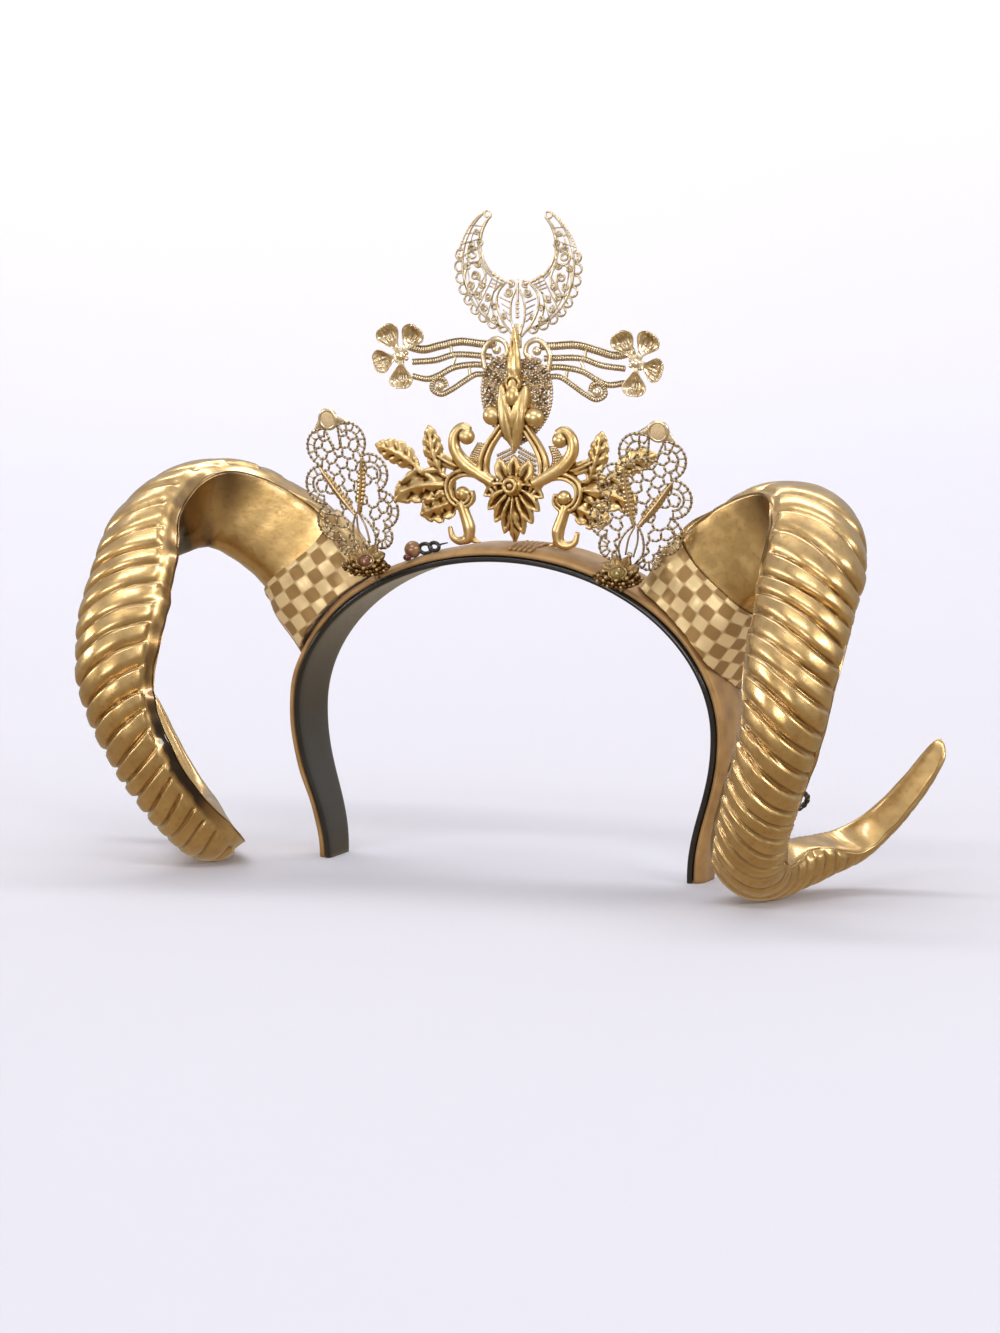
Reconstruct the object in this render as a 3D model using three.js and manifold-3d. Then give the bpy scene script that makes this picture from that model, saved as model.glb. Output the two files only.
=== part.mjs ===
// A ram horn headband crown: a padded hair band, a mirrored pair of hollow ridged horns,
// and a tiara made of one casting, pierced filigree plates, rosettes and beads.
// Millimetres, +Z up, +X to the right as seen from behind, +Y towards the wearer's face.

import * as THREE from "three";
import { mergeVertices } from "three/addons/utils/BufferGeometryUtils.js";
import Module from "manifold-3d";

const wasm = await Module();
wasm.setup();

// Clearance left between neighbouring pieces
const GAP = 0.3;

// Hair band: an elliptical arch on two legs that lean in to flat ends
const BAND_HALF_WIDTH = 80;
const BAND_TOP = 111.5;
const BAND_SHOULDER = 53;
const BAND_END_HALF_WIDTH = 70;
const BAND_WIDTH_TOP = 28;
const BAND_WIDTH_END = 15;
const CORE_THICKNESS = 2.4;
const CORE_LIP = 0.8;
const COVER_THICKNESS = 3.2;
const ARCH_STEPS = 24;
const LEG_STEPS = 4;

// Horn: centre line, section radius and the sideways part of the outward direction, foot to tip
const HORN_STATIONS = [
  { x: 60.5, y: -2, z: 75.5, radius: 24, outX: -37 },
  { x: 68, y: -2, z: 84, radius: 24, outX: -37 },
  { x: 88.5, y: -5, z: 110.5, radius: 22.5, outX: -24 },
  { x: 110, y: -14, z: 122, radius: 19.8, outX: -8 },
  { x: 121.5, y: -31, z: 115.5, radius: 18.2, outX: 0 },
  { x: 124.6, y: -47, z: 98, radius: 17, outX: 0 },
  { x: 124.4, y: -58, z: 78, radius: 16.4, outX: 0 },
  { x: 121, y: -61.5, z: 58, radius: 15.9, outX: 0 },
  { x: 113.5, y: -56.5, z: 39, radius: 15.4, outX: 0 },
  { x: 106.5, y: -47, z: 24, radius: 14.8, outX: -3 },
  { x: 103.5, y: -35, z: 14.7, radius: 14.2, outX: -6 },
  { x: 107, y: -21.5, z: 13.6, radius: 13, outX: -3 },
  { x: 114.5, y: -9, z: 15.4, radius: 11.6, outX: 5 },
  { x: 124.8, y: 2.5, z: 20, radius: 9.9, outX: 15 },
  { x: 137, y: 10.5, z: 32, radius: 8, outX: 27 },
  { x: 146.5, y: 15, z: 45, radius: 5.9, outX: 36 },
  { x: 151, y: 17, z: 52, radius: 3, outX: 40 },
];
const COIL_CENTRE = { y: -20, z: 66 };

// Ridged face of the horn section from its medial edge round to its lateral edge, for a radius of 1;
// groove is the share of the groove depth at that point
const SHELL_ARC = [
  { out: 0.85, side: -0.68, groove: 0.5 },
  { out: 1.0, side: -0.2, groove: 1 },
  { out: 0.9, side: 0.42, groove: 1 },
  { out: 0.5, side: 0.88, groove: 0.9 },
  { out: -0.1, side: 1.0, groove: 0.6 },
  { out: -0.6, side: 0.75, groove: 0.1 },
];
const INNER_CREASE = { out: -0.75, side: -0.45 };
const INNER_POINTS = [5, 3, 2, 0];
const SHELL_WALL = 2;
const PANEL_WALL = 1.5;
const PANEL_GAP = 0.5;
const RIDGES = 28;
const RIDGE_DEPTH = 2;
const RIDGE_RADIUS = 18;
const RIDGE_START = 0.185;
const RIDGE_END = 0.9;
const RIDGE_SLANT = Math.tan((25 * Math.PI) / 180);
const FOOT_FRACTIONS = [0, 0.035, 0.075, 0.115, 0.15];
const TIP_FRACTIONS = [0.925, 0.955, 0.98, 1];
const PANEL_STEPS = 24;
const WRAP_LENGTH = 37;
const WRAP_STEPS = 5;
const WRAP_CLEARANCE = 1;
const WRAP_WALL = 2;

// Loop that stands on the inner face of the right curl
const LOOP_FRACTION = 0.61;
const LOOP_SEAT = { out: -0.615, side: 0.68 };
const LOOP_HALF_WIDTH = 2.8;
const LOOP_HALF_HEIGHT = 5;
const LOOP_WIRE = 0.9;

// Tiara plates, from the viewer's side to the far side
const CASTING_BACK = 0.8;
const PLATE_THICKNESS = 0.8;
const DROP_Y = CASTING_BACK + GAP;
const CRESCENT_Y = DROP_Y + PLATE_THICKNESS + GAP;
const TIARA_BASE = 113;

const colour = (hex, roughness, metalness) =>
  new THREE.MeshStandardMaterial({ color: hex, roughness, metalness });
const FINISHES = {
  hornGold: colour(0xc49a4a, 0.3, 1),
  castGold: colour(0xb9964b, 0.42, 1),
  paleGold: colour(0xd8bd84, 0.35, 1),
  satin: colour(0xaf8755, 0.6, 0.1),
  brocade: colour(0xb08a48, 0.7, 0.1),
  blackPlastic: colour(0x0c0b0b, 0.2, 0),
  pearl: colour(0x9c7440, 0.25, 0.2),
  redBead: colour(0x4a1210, 0.25, 0),
};

const point = (x, y, z) => new THREE.Vector3(x, y, z);
const smooth = (from, to, value) => THREE.MathUtils.smoothstep(value, from, to);

// Solids

function facing(positions, indices) {
  let volume = 0;
  for (let i = 0; i < indices.length; i += 3) {
    const [a, b, c] = [positions[indices[i]], positions[indices[i + 1]], positions[indices[i + 2]]];
    volume += a.dot(point().crossVectors(b, c));
  }
  return volume > 0 ? indices : indices.slice().reverse();
}

function meshOf(positions, indices) {
  const geometry = new THREE.BufferGeometry();
  const flat = positions.flatMap((p) => [p.x, p.y, p.z]);
  geometry.setAttribute("position", new THREE.Float32BufferAttribute(flat, 3));
  geometry.setIndex(facing(positions, indices));
  return geometry;
}

// A skin through rings of matching points, capped at both ends by the outline of the section
function loft(rings, outline) {
  const count = rings[0].length;
  const indices = [];
  for (let i = 0; i + 1 < rings.length; i++) {
    for (let j = 0; j < count; j++) {
      const k = (j + 1) % count;
      const [a, b, c, d] = [i * count + j, i * count + k, (i + 1) * count + j, (i + 1) * count + k];
      indices.push(a, c, b, b, c, d);
    }
  }
  const last = (rings.length - 1) * count;
  const clockwise = THREE.ShapeUtils.isClockWise(outline);
  for (const [a, b, c] of THREE.ShapeUtils.triangulateShape(outline, [])) {
    const [second, third] = clockwise ? [c, b] : [b, c];
    indices.push(a, second, third);
    indices.push(a + last, third + last, second + last);
  }
  return meshOf(rings.flat(), indices);
}

function closedLoft(rings) {
  const count = rings[0].length;
  const indices = [];
  for (let i = 0; i < rings.length; i++) {
    const next = (i + 1) % rings.length;
    for (let j = 0; j < count; j++) {
      const k = (j + 1) % count;
      const [a, b, c, d] = [i * count + j, i * count + k, next * count + j, next * count + k];
      indices.push(a, c, b, b, c, d);
    }
  }
  return meshOf(rings.flat(), indices);
}

function solid(geometry) {
  const bare = geometry.clone();
  bare.deleteAttribute("normal");
  bare.deleteAttribute("uv");
  const merged = mergeVertices(bare, 1e-4);
  return new wasm.Manifold(
    new wasm.Mesh({
      numProp: 3,
      vertProperties: new Float32Array(merged.attributes.position.array),
      triVerts: new Uint32Array(merged.index.array),
    }),
  );
}

function geometryOf(manifold) {
  const mesh = manifold.getMesh();
  const geometry = new THREE.BufferGeometry();
  geometry.setAttribute("position", new THREE.Float32BufferAttribute(mesh.vertProperties, 3));
  geometry.setIndex(new THREE.Uint32BufferAttribute(mesh.triVerts, 1));
  return geometry;
}

const FINEST = 0.1;
const join = (geometries) =>
  geometries
    .map(solid)
    .reduce((all, next) => all.add(next))
    .simplify(FINEST);

// Hair band

const leg = new THREE.CubicBezierCurve(
  new THREE.Vector2(BAND_END_HALF_WIDTH, 0),
  new THREE.Vector2(BAND_END_HALF_WIDTH, 20),
  new THREE.Vector2(BAND_HALF_WIDTH, 30),
  new THREE.Vector2(BAND_HALF_WIDTH, BAND_SHOULDER),
);
const arch = new THREE.EllipseCurve(
  0, BAND_SHOULDER, BAND_HALF_WIDTH, BAND_TOP - BAND_SHOULDER, 0, Math.PI, false, 0,
);

function bandStations() {
  const at = (curve, t, mirror) => {
    const p = curve.getPoint(t);
    const d = curve.getTangent(t);
    return { x: mirror * p.x, z: p.y, nx: mirror * d.y, nz: -d.x };
  };
  const rise = [];
  for (let i = 0; i < LEG_STEPS; i++) {
    rise.push(i / LEG_STEPS);
  }
  const right = rise.map((t) => at(leg, t, 1));
  const left = rise.map((t) => at(leg, t, -1)).reverse();
  const middle = [];
  for (let i = 0; i <= ARCH_STEPS; i++) {
    middle.push(at(arch, i / ARCH_STEPS, 1));
  }
  return [...right, ...middle, ...left];
}

const bandWidth = (z) =>
  BAND_WIDTH_END + (BAND_WIDTH_TOP - BAND_WIDTH_END) * Math.sin((Math.PI / 2) * Math.min(1, z / BAND_TOP));

function bandStrip(profile) {
  const rings = bandStations().map((s) =>
    profile.map(({ across, edge, out }) =>
      point(s.x + s.nx * out, across * (bandWidth(s.z) / 2 + edge), s.z + s.nz * out),
    ),
  );
  return loft(rings, profile.map((p) => new THREE.Vector2(p.across * (BAND_WIDTH_END / 2 + p.edge), p.out)));
}

const bandCover = bandStrip([
  { across: -1, edge: 0, out: GAP / 2 },
  { across: 1, edge: 0, out: GAP / 2 },
  { across: 1, edge: 0, out: 0.55 * COVER_THICKNESS },
  { across: 1, edge: -2.5, out: 0.92 * COVER_THICKNESS },
  { across: 0, edge: 0, out: COVER_THICKNESS },
  { across: -1, edge: -2.5, out: 0.92 * COVER_THICKNESS },
  { across: -1, edge: 0, out: 0.55 * COVER_THICKNESS },
]);

const bandCore = bandStrip([
  { across: -1, edge: CORE_LIP, out: -CORE_THICKNESS },
  { across: 1, edge: CORE_LIP, out: -CORE_THICKNESS },
  { across: 1, edge: CORE_LIP, out: -GAP / 2 },
  { across: -1, edge: CORE_LIP, out: -GAP / 2 },
]);

// Everything below the outer face of the band, for trimming what stands on it
function belowBand(clearance) {
  const reach = COVER_THICKNESS + clearance;
  const edge = bandStations().map((s) => new THREE.Vector2(s.x + s.nx * reach, s.z + s.nz * reach));
  const below = -BAND_WIDTH_TOP;
  const depth = 2 * BAND_HALF_WIDTH;
  edge.push(new THREE.Vector2(-BAND_END_HALF_WIDTH, below), new THREE.Vector2(BAND_END_HALF_WIDTH, below));
  const block = new THREE.ExtrudeGeometry(new THREE.Shape(edge), { depth, bevelEnabled: false });
  block.translate(0, 0, -depth / 2);
  block.rotateX(Math.PI / 2);
  return solid(block);
}

const underBand = belowBand(GAP);

// Horn

const hornLine = new THREE.CatmullRomCurve3(HORN_STATIONS.map((s) => point(s.x, s.y, s.z)));
const hornSizes = new THREE.CatmullRomCurve3(HORN_STATIONS.map((s) => point(s.radius, s.outX, 0)));
hornLine.arcLengthDivisions = 400;
const HORN_LENGTH = hornLine.getLength();

function hornFrame(u) {
  const t = hornLine.getUtoTmapping(THREE.MathUtils.clamp(u, 0, 1));
  const centre = hornLine.getPoint(t);
  const along = hornLine.getTangent(t);
  const size = hornSizes.getPoint(t);
  const out = point(size.y, centre.y - COIL_CENTRE.y, centre.z - COIL_CENTRE.z);
  out.addScaledVector(along, -out.dot(along)).normalize();
  return { centre, out, side: point().crossVectors(out, along), radius: size.x };
}

// The sections lean, so that each ridge runs aslant from the medial edge down to the lateral edge
const slant = (u) => RIDGE_SLANT * smooth(0.12, 0.24, u) * (1 - smooth(0.84, 0.97, u));

function hornPoint(u, radius, out, side) {
  const f = hornFrame(u + (slant(u) * side) / HORN_LENGTH);
  const scale = f.radius / radius;
  return f.centre
    .clone()
    .addScaledVector(f.out, out * scale)
    .addScaledVector(f.side, side * scale);
}

const towards = (from, to, distance) => {
  const [dOut, dSide] = [to.out - from.out, to.side - from.side];
  const length = Math.hypot(dOut, dSide);
  return { out: from.out + (dOut * distance) / length, side: from.side + (dSide * distance) / length };
};

const scaled = ({ out, side }, size) => ({ out: out * size, side: side * size });

function shellSection(radius, depth) {
  const wall = Math.min(SHELL_WALL, 0.36 * radius);
  const crease = scaled(INNER_CREASE, radius);
  const outer = SHELL_ARC.map((p) => scaled(p, radius - depth * p.groove));
  const inner = INNER_POINTS.map((i) => {
    const edge = scaled(SHELL_ARC[i], radius);
    const rim = i === 0 || i === SHELL_ARC.length - 1;
    return rim ? towards(edge, crease, wall) : towards(edge, { out: 0, side: 0 }, wall * 1.35);
  });
  return [...outer, ...inner];
}

function panelSection(radius) {
  const rim = Math.min(SHELL_WALL, 0.36 * radius) + Math.min(PANEL_GAP, 0.1 * radius);
  const wall = Math.min(PANEL_WALL, 0.25 * radius);
  const crease = scaled(INNER_CREASE, radius);
  const medial = towards(scaled(SHELL_ARC[0], radius), crease, rim);
  const lateral = towards(scaled(SHELL_ARC[SHELL_ARC.length - 1], radius), crease, rim);
  const inside = { out: crease.out + wall * 1.05, side: crease.side + wall * 0.9 };
  return [
    medial,
    crease,
    lateral,
    { out: lateral.out + wall, side: lateral.side },
    inside,
    { out: medial.out, side: medial.side + wall },
  ];
}

function hornSkin(fractions, section) {
  const rings = fractions.map((u) => {
    const { radius } = hornFrame(u);
    return section(u, radius).map((p) => hornPoint(u, radius, p.out, p.side));
  });
  const outline = section(0, 10).map((p) => new THREE.Vector2(p.out, p.side));
  return loft(rings, outline);
}

// The grooves set in above the foot, get shallower with the radius and fade out towards the tip
function ridgeDepth(u, radius) {
  const begun = smooth(RIDGE_START - 0.02, RIDGE_START + 0.04, u);
  const faded = smooth(0.8, 0.92, u);
  return (RIDGE_DEPTH * radius * begun * (1 - faded)) / RIDGE_RADIUS;
}

const ridgePitch = (RIDGE_END - RIDGE_START) / RIDGES;
const grooves = new Set();
const ridgeFractions = [];
for (let i = 0; i < RIDGES; i++) {
  const groove = RIDGE_START + i * ridgePitch;
  grooves.add(groove);
  ridgeFractions.push(groove, groove + ridgePitch / 2);
}
const shellFractions = [...FOOT_FRACTIONS, ...ridgeFractions, ...TIP_FRACTIONS];
const shellSkin = hornSkin(shellFractions, (u, radius) =>
  shellSection(radius, grooves.has(u) ? ridgeDepth(u, radius) : 0),
);
const panelFractions = [];
for (let i = 0; i <= PANEL_STEPS; i++) {
  panelFractions.push(i / PANEL_STEPS);
}
const panelSkin = hornSkin(panelFractions, (u, radius) => panelSection(radius));

function wrapSkin(clearance, start, end) {
  const fractions = [];
  for (let i = 0; i <= WRAP_STEPS; i++) {
    fractions.push(start + ((end - start) * i) / WRAP_STEPS);
  }
  return hornSkin(fractions, (u, radius) =>
    [...SHELL_ARC, INNER_CREASE].map((p) => scaled(p, radius + clearance)),
  );
}

const wrapEnd = WRAP_LENGTH / HORN_LENGTH;
const wrapOuter = solid(wrapSkin(WRAP_CLEARANCE + WRAP_WALL, 0.002, wrapEnd));
const wrapSolid = wrapOuter.subtract(solid(wrapSkin(WRAP_CLEARANCE, 0, wrapEnd * 1.1)));

function loopWire() {
  const foot = hornFrame(LOOP_FRACTION);
  const middle = hornPoint(
    LOOP_FRACTION,
    foot.radius,
    LOOP_SEAT.out * foot.radius - GAP - LOOP_WIRE - LOOP_HALF_HEIGHT,
    LOOP_SEAT.side * foot.radius,
  );
  const along = point().crossVectors(foot.side, foot.out);
  const rings = [];
  for (let i = 0; i < 12; i++) {
    const turn = (i / 12) * 2 * Math.PI;
    const ring = [];
    for (let j = 0; j < 5; j++) {
      const round = (j / 5) * 2 * Math.PI;
      const reach = LOOP_WIRE * Math.cos(round);
      ring.push(
        middle
          .clone()
          .addScaledVector(foot.side, (LOOP_HALF_WIDTH + reach) * Math.cos(turn))
          .addScaledVector(foot.out, (LOOP_HALF_HEIGHT + reach) * Math.sin(turn))
          .addScaledVector(along, LOOP_WIRE * Math.sin(round)),
      );
    }
    rings.push(ring);
  }
  return closedLoft(rings);
}

// Bars, discs and leaves of the tiara, drawn in its own plane as [across, up] pairs in millimetres

function tangents(path, closed) {
  return path.map((p, i) => {
    const before = path[closed ? (i + path.length - 1) % path.length : Math.max(0, i - 1)];
    const after = path[closed ? (i + 1) % path.length : Math.min(path.length - 1, i + 1)];
    const [dx, dz] = [after[0] - before[0], after[1] - before[1]];
    const length = Math.hypot(dx, dz);
    return [dx / length, dz / length];
  });
}

function curveThrough(path, steps, closed = false) {
  const curve = new THREE.CatmullRomCurve3(path.map(([x, z]) => point(x, 0, z)), closed);
  const count = closed ? steps - 1 : steps;
  return curve.getSpacedPoints(steps).slice(0, count + 1).map((p) => [p.x, p.z]);
}

const SQUARE = [[-1, 0], [1, 0], [1, 1], [-1, 1]];
const DOMED = [[-1, 0], [1, 0], [0.55, 1], [-0.55, 1]];

// A bar along a path; its section is given in half widths and heights, its width may taper
function bar(path, width, height, back, { closed = false, section = SQUARE, taper = () => 1 } = {}) {
  const directions = tangents(path, closed);
  const rings = path.map(([x, z], i) => {
    const [dx, dz] = directions[i];
    const size = taper(i / (path.length - 1));
    return section.map(([across, deep]) => {
      const offset = (across * width * size) / 2;
      return point(x - dz * offset, back - deep * height * size, z + dx * offset);
    });
  });
  return closed ? closedLoft(rings) : loft(rings, section.map(([a, d]) => new THREE.Vector2(a, d)));
}

const wire = (path, width, back, closed = false) => bar(path, width, PLATE_THICKNESS, back, { closed });

function disc(x, z, radius, height, back, sides = 10) {
  const geometry = new THREE.CylinderGeometry(radius, radius, height, sides);
  return geometry.translate(x, back - height / 2, z);
}

function ball(x, y, z, radius, flatten = 1, sides = 6, rows = 4) {
  const geometry = new THREE.SphereGeometry(radius, sides, rows);
  return geometry.scale(1, flatten, 1).translate(x, y, z);
}

// A leaf with a raised midrib from its base to its tip, bent sideways by bow
function leaf([x0, z0], [x1, z1], width, height, bow = 0) {
  const shares = [0, 0.35, 0.72, 1];
  const spread = [0.35, 1, 0.85, 0.1];
  const path = shares.map((t) => {
    const bend = 4 * bow * t * (1 - t);
    return [x0 + (x1 - x0) * t - (z1 - z0) * bend, z0 + (z1 - z0) * t + (x1 - x0) * bend];
  });
  const section = [[-1, 0], [1, 0], [0, 1]];
  const taper = (t) => spread[Math.round(t * (spread.length - 1))];
  return bar(path, width, height, CASTING_BACK, { section, taper });
}

const circle = (x, z, radius, steps, from = 0, sweep = 2 * Math.PI) => {
  const whole = Math.abs(sweep) >= 2 * Math.PI - 1e-6;
  const path = [];
  for (let i = 0; i < steps + (whole ? 0 : 1); i++) {
    const turn = from + (sweep * i) / steps;
    path.push([x + radius * Math.cos(turn), z + radius * Math.sin(turn)]);
  }
  return path;
};
const mirrored = (path) => path.map(([x, z]) => [-x, z]);
const bothSides = (make) => [make((path) => path), make(mirrored)];

// Casting: the bars taper away from where they start
const SCROLLS = [
  { name: "lyre arm", width: 2.6, height: 3.4, steps: 5, end: 0.8,
    path: [[4.5, 24], [10.5, 22], [11.5, 28], [9.8, 34.5], [5.6, 41], [2.6, 45]] },
  { name: "large scroll", width: 3, height: 3.2, steps: 8, end: 0.6,
    path: [[5, 23], [13, 26], [20, 29.5], [23.8, 34.5], [22, 40], [17.6, 40.6], [16.6, 37]] },
  { name: "small scroll", width: 2.6, height: 2.8, steps: 7, end: 0.7,
    path: [[6, 23.5], [14, 24.8], [20.5, 25.2], [24.6, 20.6], [22.4, 14.4], [17.4, 14], [16.6, 18]] },
  { name: "foot", width: 3, height: 3, steps: 6, end: 0.6,
    path: [[17.6, 14.4], [15.6, 8], [16, 2], [19.4, -0.6], [23, 3], [24.4, 7.4]] },
  { name: "stem", width: 2, height: 2, steps: 3, end: 0.8,
    path: [[21.5, 23], [26.5, 22], [32, 25], [38, 28.6]] },
];
const LEAVES = [
  { name: "upright leaf", base: [27, 23], tip: [33.4, 42.6], width: 6, height: 2.6, bow: 0.06 },
  { name: "long leaf", base: [36, 27.4], tip: [52.8, 35.8], width: 7, height: 2.6, bow: -0.06 },
  { name: "curled leaf", base: [22.5, 20.5], tip: [44.5, 16.5], width: 7, height: 3, bow: 0.16 },
  { name: "lower leaf", base: [21, 17], tip: [36, 11], width: 6, height: 2.6, bow: -0.1 },
  { name: "side petal", base: [2, 21], tip: [10.4, 21.6], width: 6, height: 4, bow: 0.05 },
  { name: "low petal", base: [1.5, 19], tip: [9.6, 12.5], width: 6, height: 4, bow: -0.05 },
];

function casting() {
  const pieces = [];
  for (const s of SCROLLS) {
    const path = curveThrough(s.path, s.steps);
    const options = { section: DOMED, taper: (t) => 1 + (s.end - 1) * t };
    pieces.push(...bothSides((flip) => bar(flip(path), s.width, s.height, CASTING_BACK, options)));
  }
  for (const l of LEAVES) {
    pieces.push(
      ...bothSides((flip) => {
        const [base, tip] = flip([l.base, l.tip]);
        return leaf(base, tip, l.width, l.height, base[0] < 0 ? -l.bow : l.bow);
      }),
    );
  }
  const balls = [
    { x: 8, z: 46, radius: 3.1 },
    { x: 17, z: 37, radius: 2.9 },
    { x: 17.8, z: 17.8, radius: 2.2 },
  ];
  for (const b of balls) {
    pieces.push(...bothSides((flip) => ball(flip([[b.x, b.z]])[0][0], -1.8, b.z, b.radius, 0.8)));
  }
  const hanging = leaf([0, 19], [0, 1.4], 8, 4.4);
  const upperPetal = leaf([0, 24], [0, 32], 4.5, 3);
  const flower = disc(0, 21.8, 3.6, 5.6, CASTING_BACK, 8);
  const bud = bar([[0, 34], [0, 42], [0, 48.5], [0, 53.6], [0, 56]], 9.6, 4.4, CASTING_BACK, {
    section: DOMED,
    taper: (t) => [0.14, 0.6, 0.92, 1, 0.62][Math.round(t * 4)],
  });
  const spike = bar([[0, 55], [0, 60], [0, 64], [0, 77.4]], 7, 4.4, CASTING_BACK, {
    section: [[-1, 0], [1, 0], [0, 1]],
    taper: (t) => [0.75, 0.8, 1, 0.06][Math.round(t * 3)],
  });
  const budArms = bothSides((flip) =>
    bar(flip([[2.4, 45], [5.6, 45.4], [8, 46]]), 2, 2.4, CASTING_BACK, { section: DOMED }),
  );
  pieces.push(hanging, upperPetal, flower, bud, spike, ...budArms);
  const raised = join(pieces).translate([0, 0, TIARA_BASE]);
  return raised.subtract(underBand);
}

// Pear-shaped filigree plate behind the spike
const DROP_OUTLINE = [
  [0, 35.5], [6.5, 40], [11.6, 47], [13, 55], [11, 63], [9, 70], [4, 73],
  [0, 71], [-4, 73], [-9, 70], [-11, 63], [-13, 55], [-11.6, 47], [-6.5, 40],
];

function dropPlate() {
  const back = DROP_Y + PLATE_THICKNESS;
  const pieces = [wire(curveThrough(DROP_OUTLINE, 20, true), 1.6, back, true)];
  pieces.push(wire([[0, 36], [0, 72]], 1.6, back));
  for (const z of [43, 50, 57, 64]) {
    const reach = 13.4 - Math.abs(z - 55) * 0.32;
    const rib = [[0, z - 2], [reach * 0.55, z], [reach - 0.8, z + 3]];
    pieces.push(...bothSides((flip) => wire(flip(rib), 1.1, back)));
  }
  pieces.push(...bothSides((flip) => wire(flip([[4.6, 40], [6.4, 50], [6, 61], [4, 71.5]]), 1.1, back)));
  return join(pieces).translate([0, 0, TIARA_BASE]);
}

// Crescent: two arcs that meet at the tips, with a lattice between them
const CRESCENT = { z: 98, outer: 22.6, innerZ: 105.4, inner: 14.2, tipX: 10.8, tipZ: 118 };

function crescentPlate() {
  const back = CRESCENT_Y + PLATE_THICKNESS;
  const opening = (z) => Math.atan2(CRESCENT.tipZ - z, CRESCENT.tipX);
  const outerFrom = opening(CRESCENT.z);
  const innerFrom = opening(CRESCENT.innerZ);
  const arc = (z, radius, from, steps) => circle(0, z, radius, steps, Math.PI - from, Math.PI + 2 * from);
  const outer = arc(CRESCENT.z, CRESCENT.outer, outerFrom, 16);
  const inner = arc(CRESCENT.innerZ, CRESCENT.inner, innerFrom, 16);
  const middle = outer.map(([x, z], i) => [(x + inner[i][0]) / 2, (z + inner[i][1]) / 2]).slice(3, -3);
  const pieces = [wire(outer, 1.5, back), wire(inner, 1.5, back), wire(middle, 1.1, back)];
  for (let i = 2; i <= 14; i += 2) {
    pieces.push(wire([inner[i], outer[i]], 1, back));
  }
  for (const tip of [outer[0], outer[16]]) {
    pieces.push(disc(tip[0], tip[1] - 0.6, 1.9, PLATE_THICKNESS, back, 8));
  }
  pieces.push(wire([[0, 91], [0, 69.5]], 3, back));
  return join(pieces).translate([0, 0, TIARA_BASE]);
}

// Arm: wavy ribbed wires from the plate to an end flower of cupped petals
const ARM_WIRES = [
  [[8.4, 70.2], [14, 70.5], [22, 71], [29.3, 69.4], [36.5, 67.8], [43.6, 69.4]],
  [[10, 66], [14, 66.3], [24, 66.4], [31.2, 64.3], [40, 63.4]],
  [[10.5, 62.6], [15, 63.2], [24, 62], [30, 59], [34, 57.6], [40, 58.4]],
  [[11, 59.6], [15.6, 59.8], [20.2, 57.3], [25.1, 54.2], [29.5, 52.4], [32.6, 54.4], [31, 57.4]],
];
const ARM_STRUTS = [[[25, 54.4], [25.6, 71]], [[18, 58.4], [18.4, 71]]];
const ARM_PETALS = [[49, 73], [39.6, 73], [51, 63.6], [44, 57.6]];
const ARM_FLOWER = [44.4, 65.6];
const ARM_PETAL_RADIUS = 3.6;

function armPlate() {
  const back = CRESCENT_Y + PLATE_THICKNESS;
  const pieces = ARM_WIRES.map((path) => wire(curveThrough(path, 7), 1.5, back));
  pieces.push(...ARM_STRUTS.map((path) => wire(path, 1.2, back)));
  for (const petal of ARM_PETALS) {
    pieces.push(wire([ARM_FLOWER, petal], 2.2, back));
    pieces.push(ball(petal[0], back - 0.8, petal[1], ARM_PETAL_RADIUS, 0.5, 6, 3));
  }
  pieces.push(disc(...ARM_FLOWER, 2.4, 1.6, back, 8));
  return join(pieces).translate([0, 0, TIARA_BASE]);
}

// Wing: lobed plate with a round seat at its tip, drawn upright and then turned into place
const WING_HALF_OUTLINE = [
  [3, 46.4], [8.5, 45], [12, 40], [10.6, 33.6], [15.4, 30.4], [17.2, 25], [13.6, 18.8],
  [16.6, 13.6], [15.2, 8.4], [11, 5.6], [9.4, 1.6], [4, 0],
];
const WING_SEAT = { z: 48.6, radius: 3.8 };
const WING_HEART = 16.5;
const WING_VEINS = [
  { name: "leaf vein", width: 2.4, path: [[0, WING_HEART], [4.3, 23.5], [8.6, 31]] },
  { name: "stem to the seat", width: 1.1, path: [[0.4, WING_HEART], [2.6, 30], [1.4, 45]] },
  { name: "stem to the foot", width: 1.1, path: [[0, WING_HEART], [4.6, 9], [6.6, 5]] },
];
const WING_PLACE = { x: 48.6, y: -16.3, z: 111 };
const WING_TURN = { tilt: 17, lean: 9, splay: 6 };
const WING_FOOT = 9;

function wingPlate() {
  const back = PLATE_THICKNESS;
  const inset = ([x, z]) => [0.66 * x, 24 + 0.72 * (z - 24)];
  const around = (path, steps) => {
    const half = curveThrough(path, steps);
    return [...half, ...mirrored(half).reverse()];
  };
  const innerOutline = WING_HALF_OUTLINE.map(inset);
  const pieces = [
    wire(around(WING_HALF_OUTLINE, 13), 1.4, back, true),
    wire(around(innerOutline, 7), 1.1, back, true),
  ];
  const outerKnots = around(WING_HALF_OUTLINE, 6);
  const innerKnots = around(innerOutline, 6);
  for (let i = 1; i + 1 < outerKnots.length; i++) {
    pieces.push(wire([innerKnots[i], outerKnots[i]], 0.9, back));
  }
  for (const { path, width } of WING_VEINS) {
    pieces.push(...bothSides((flip) => wire(flip(path), width, back)));
  }
  pieces.push(wire([[0, WING_HEART + 1], [0, -WING_FOOT]], 2.4, back));
  pieces.push(disc(0, WING_SEAT.z, WING_SEAT.radius, 1.6, back, 12));
  return join(pieces);
}

// Rosette: petalled disc with a domed stone
const ROSETTE = { radius: 7.4, petals: 8, depth: 1.1, thickness: 1.8, stone: 2.6 };
const ROSETTE_PLACE = { x: 47.4, y: -20.2, z: 107.6 };
const ROSETTE_LEAN = -25;

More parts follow.
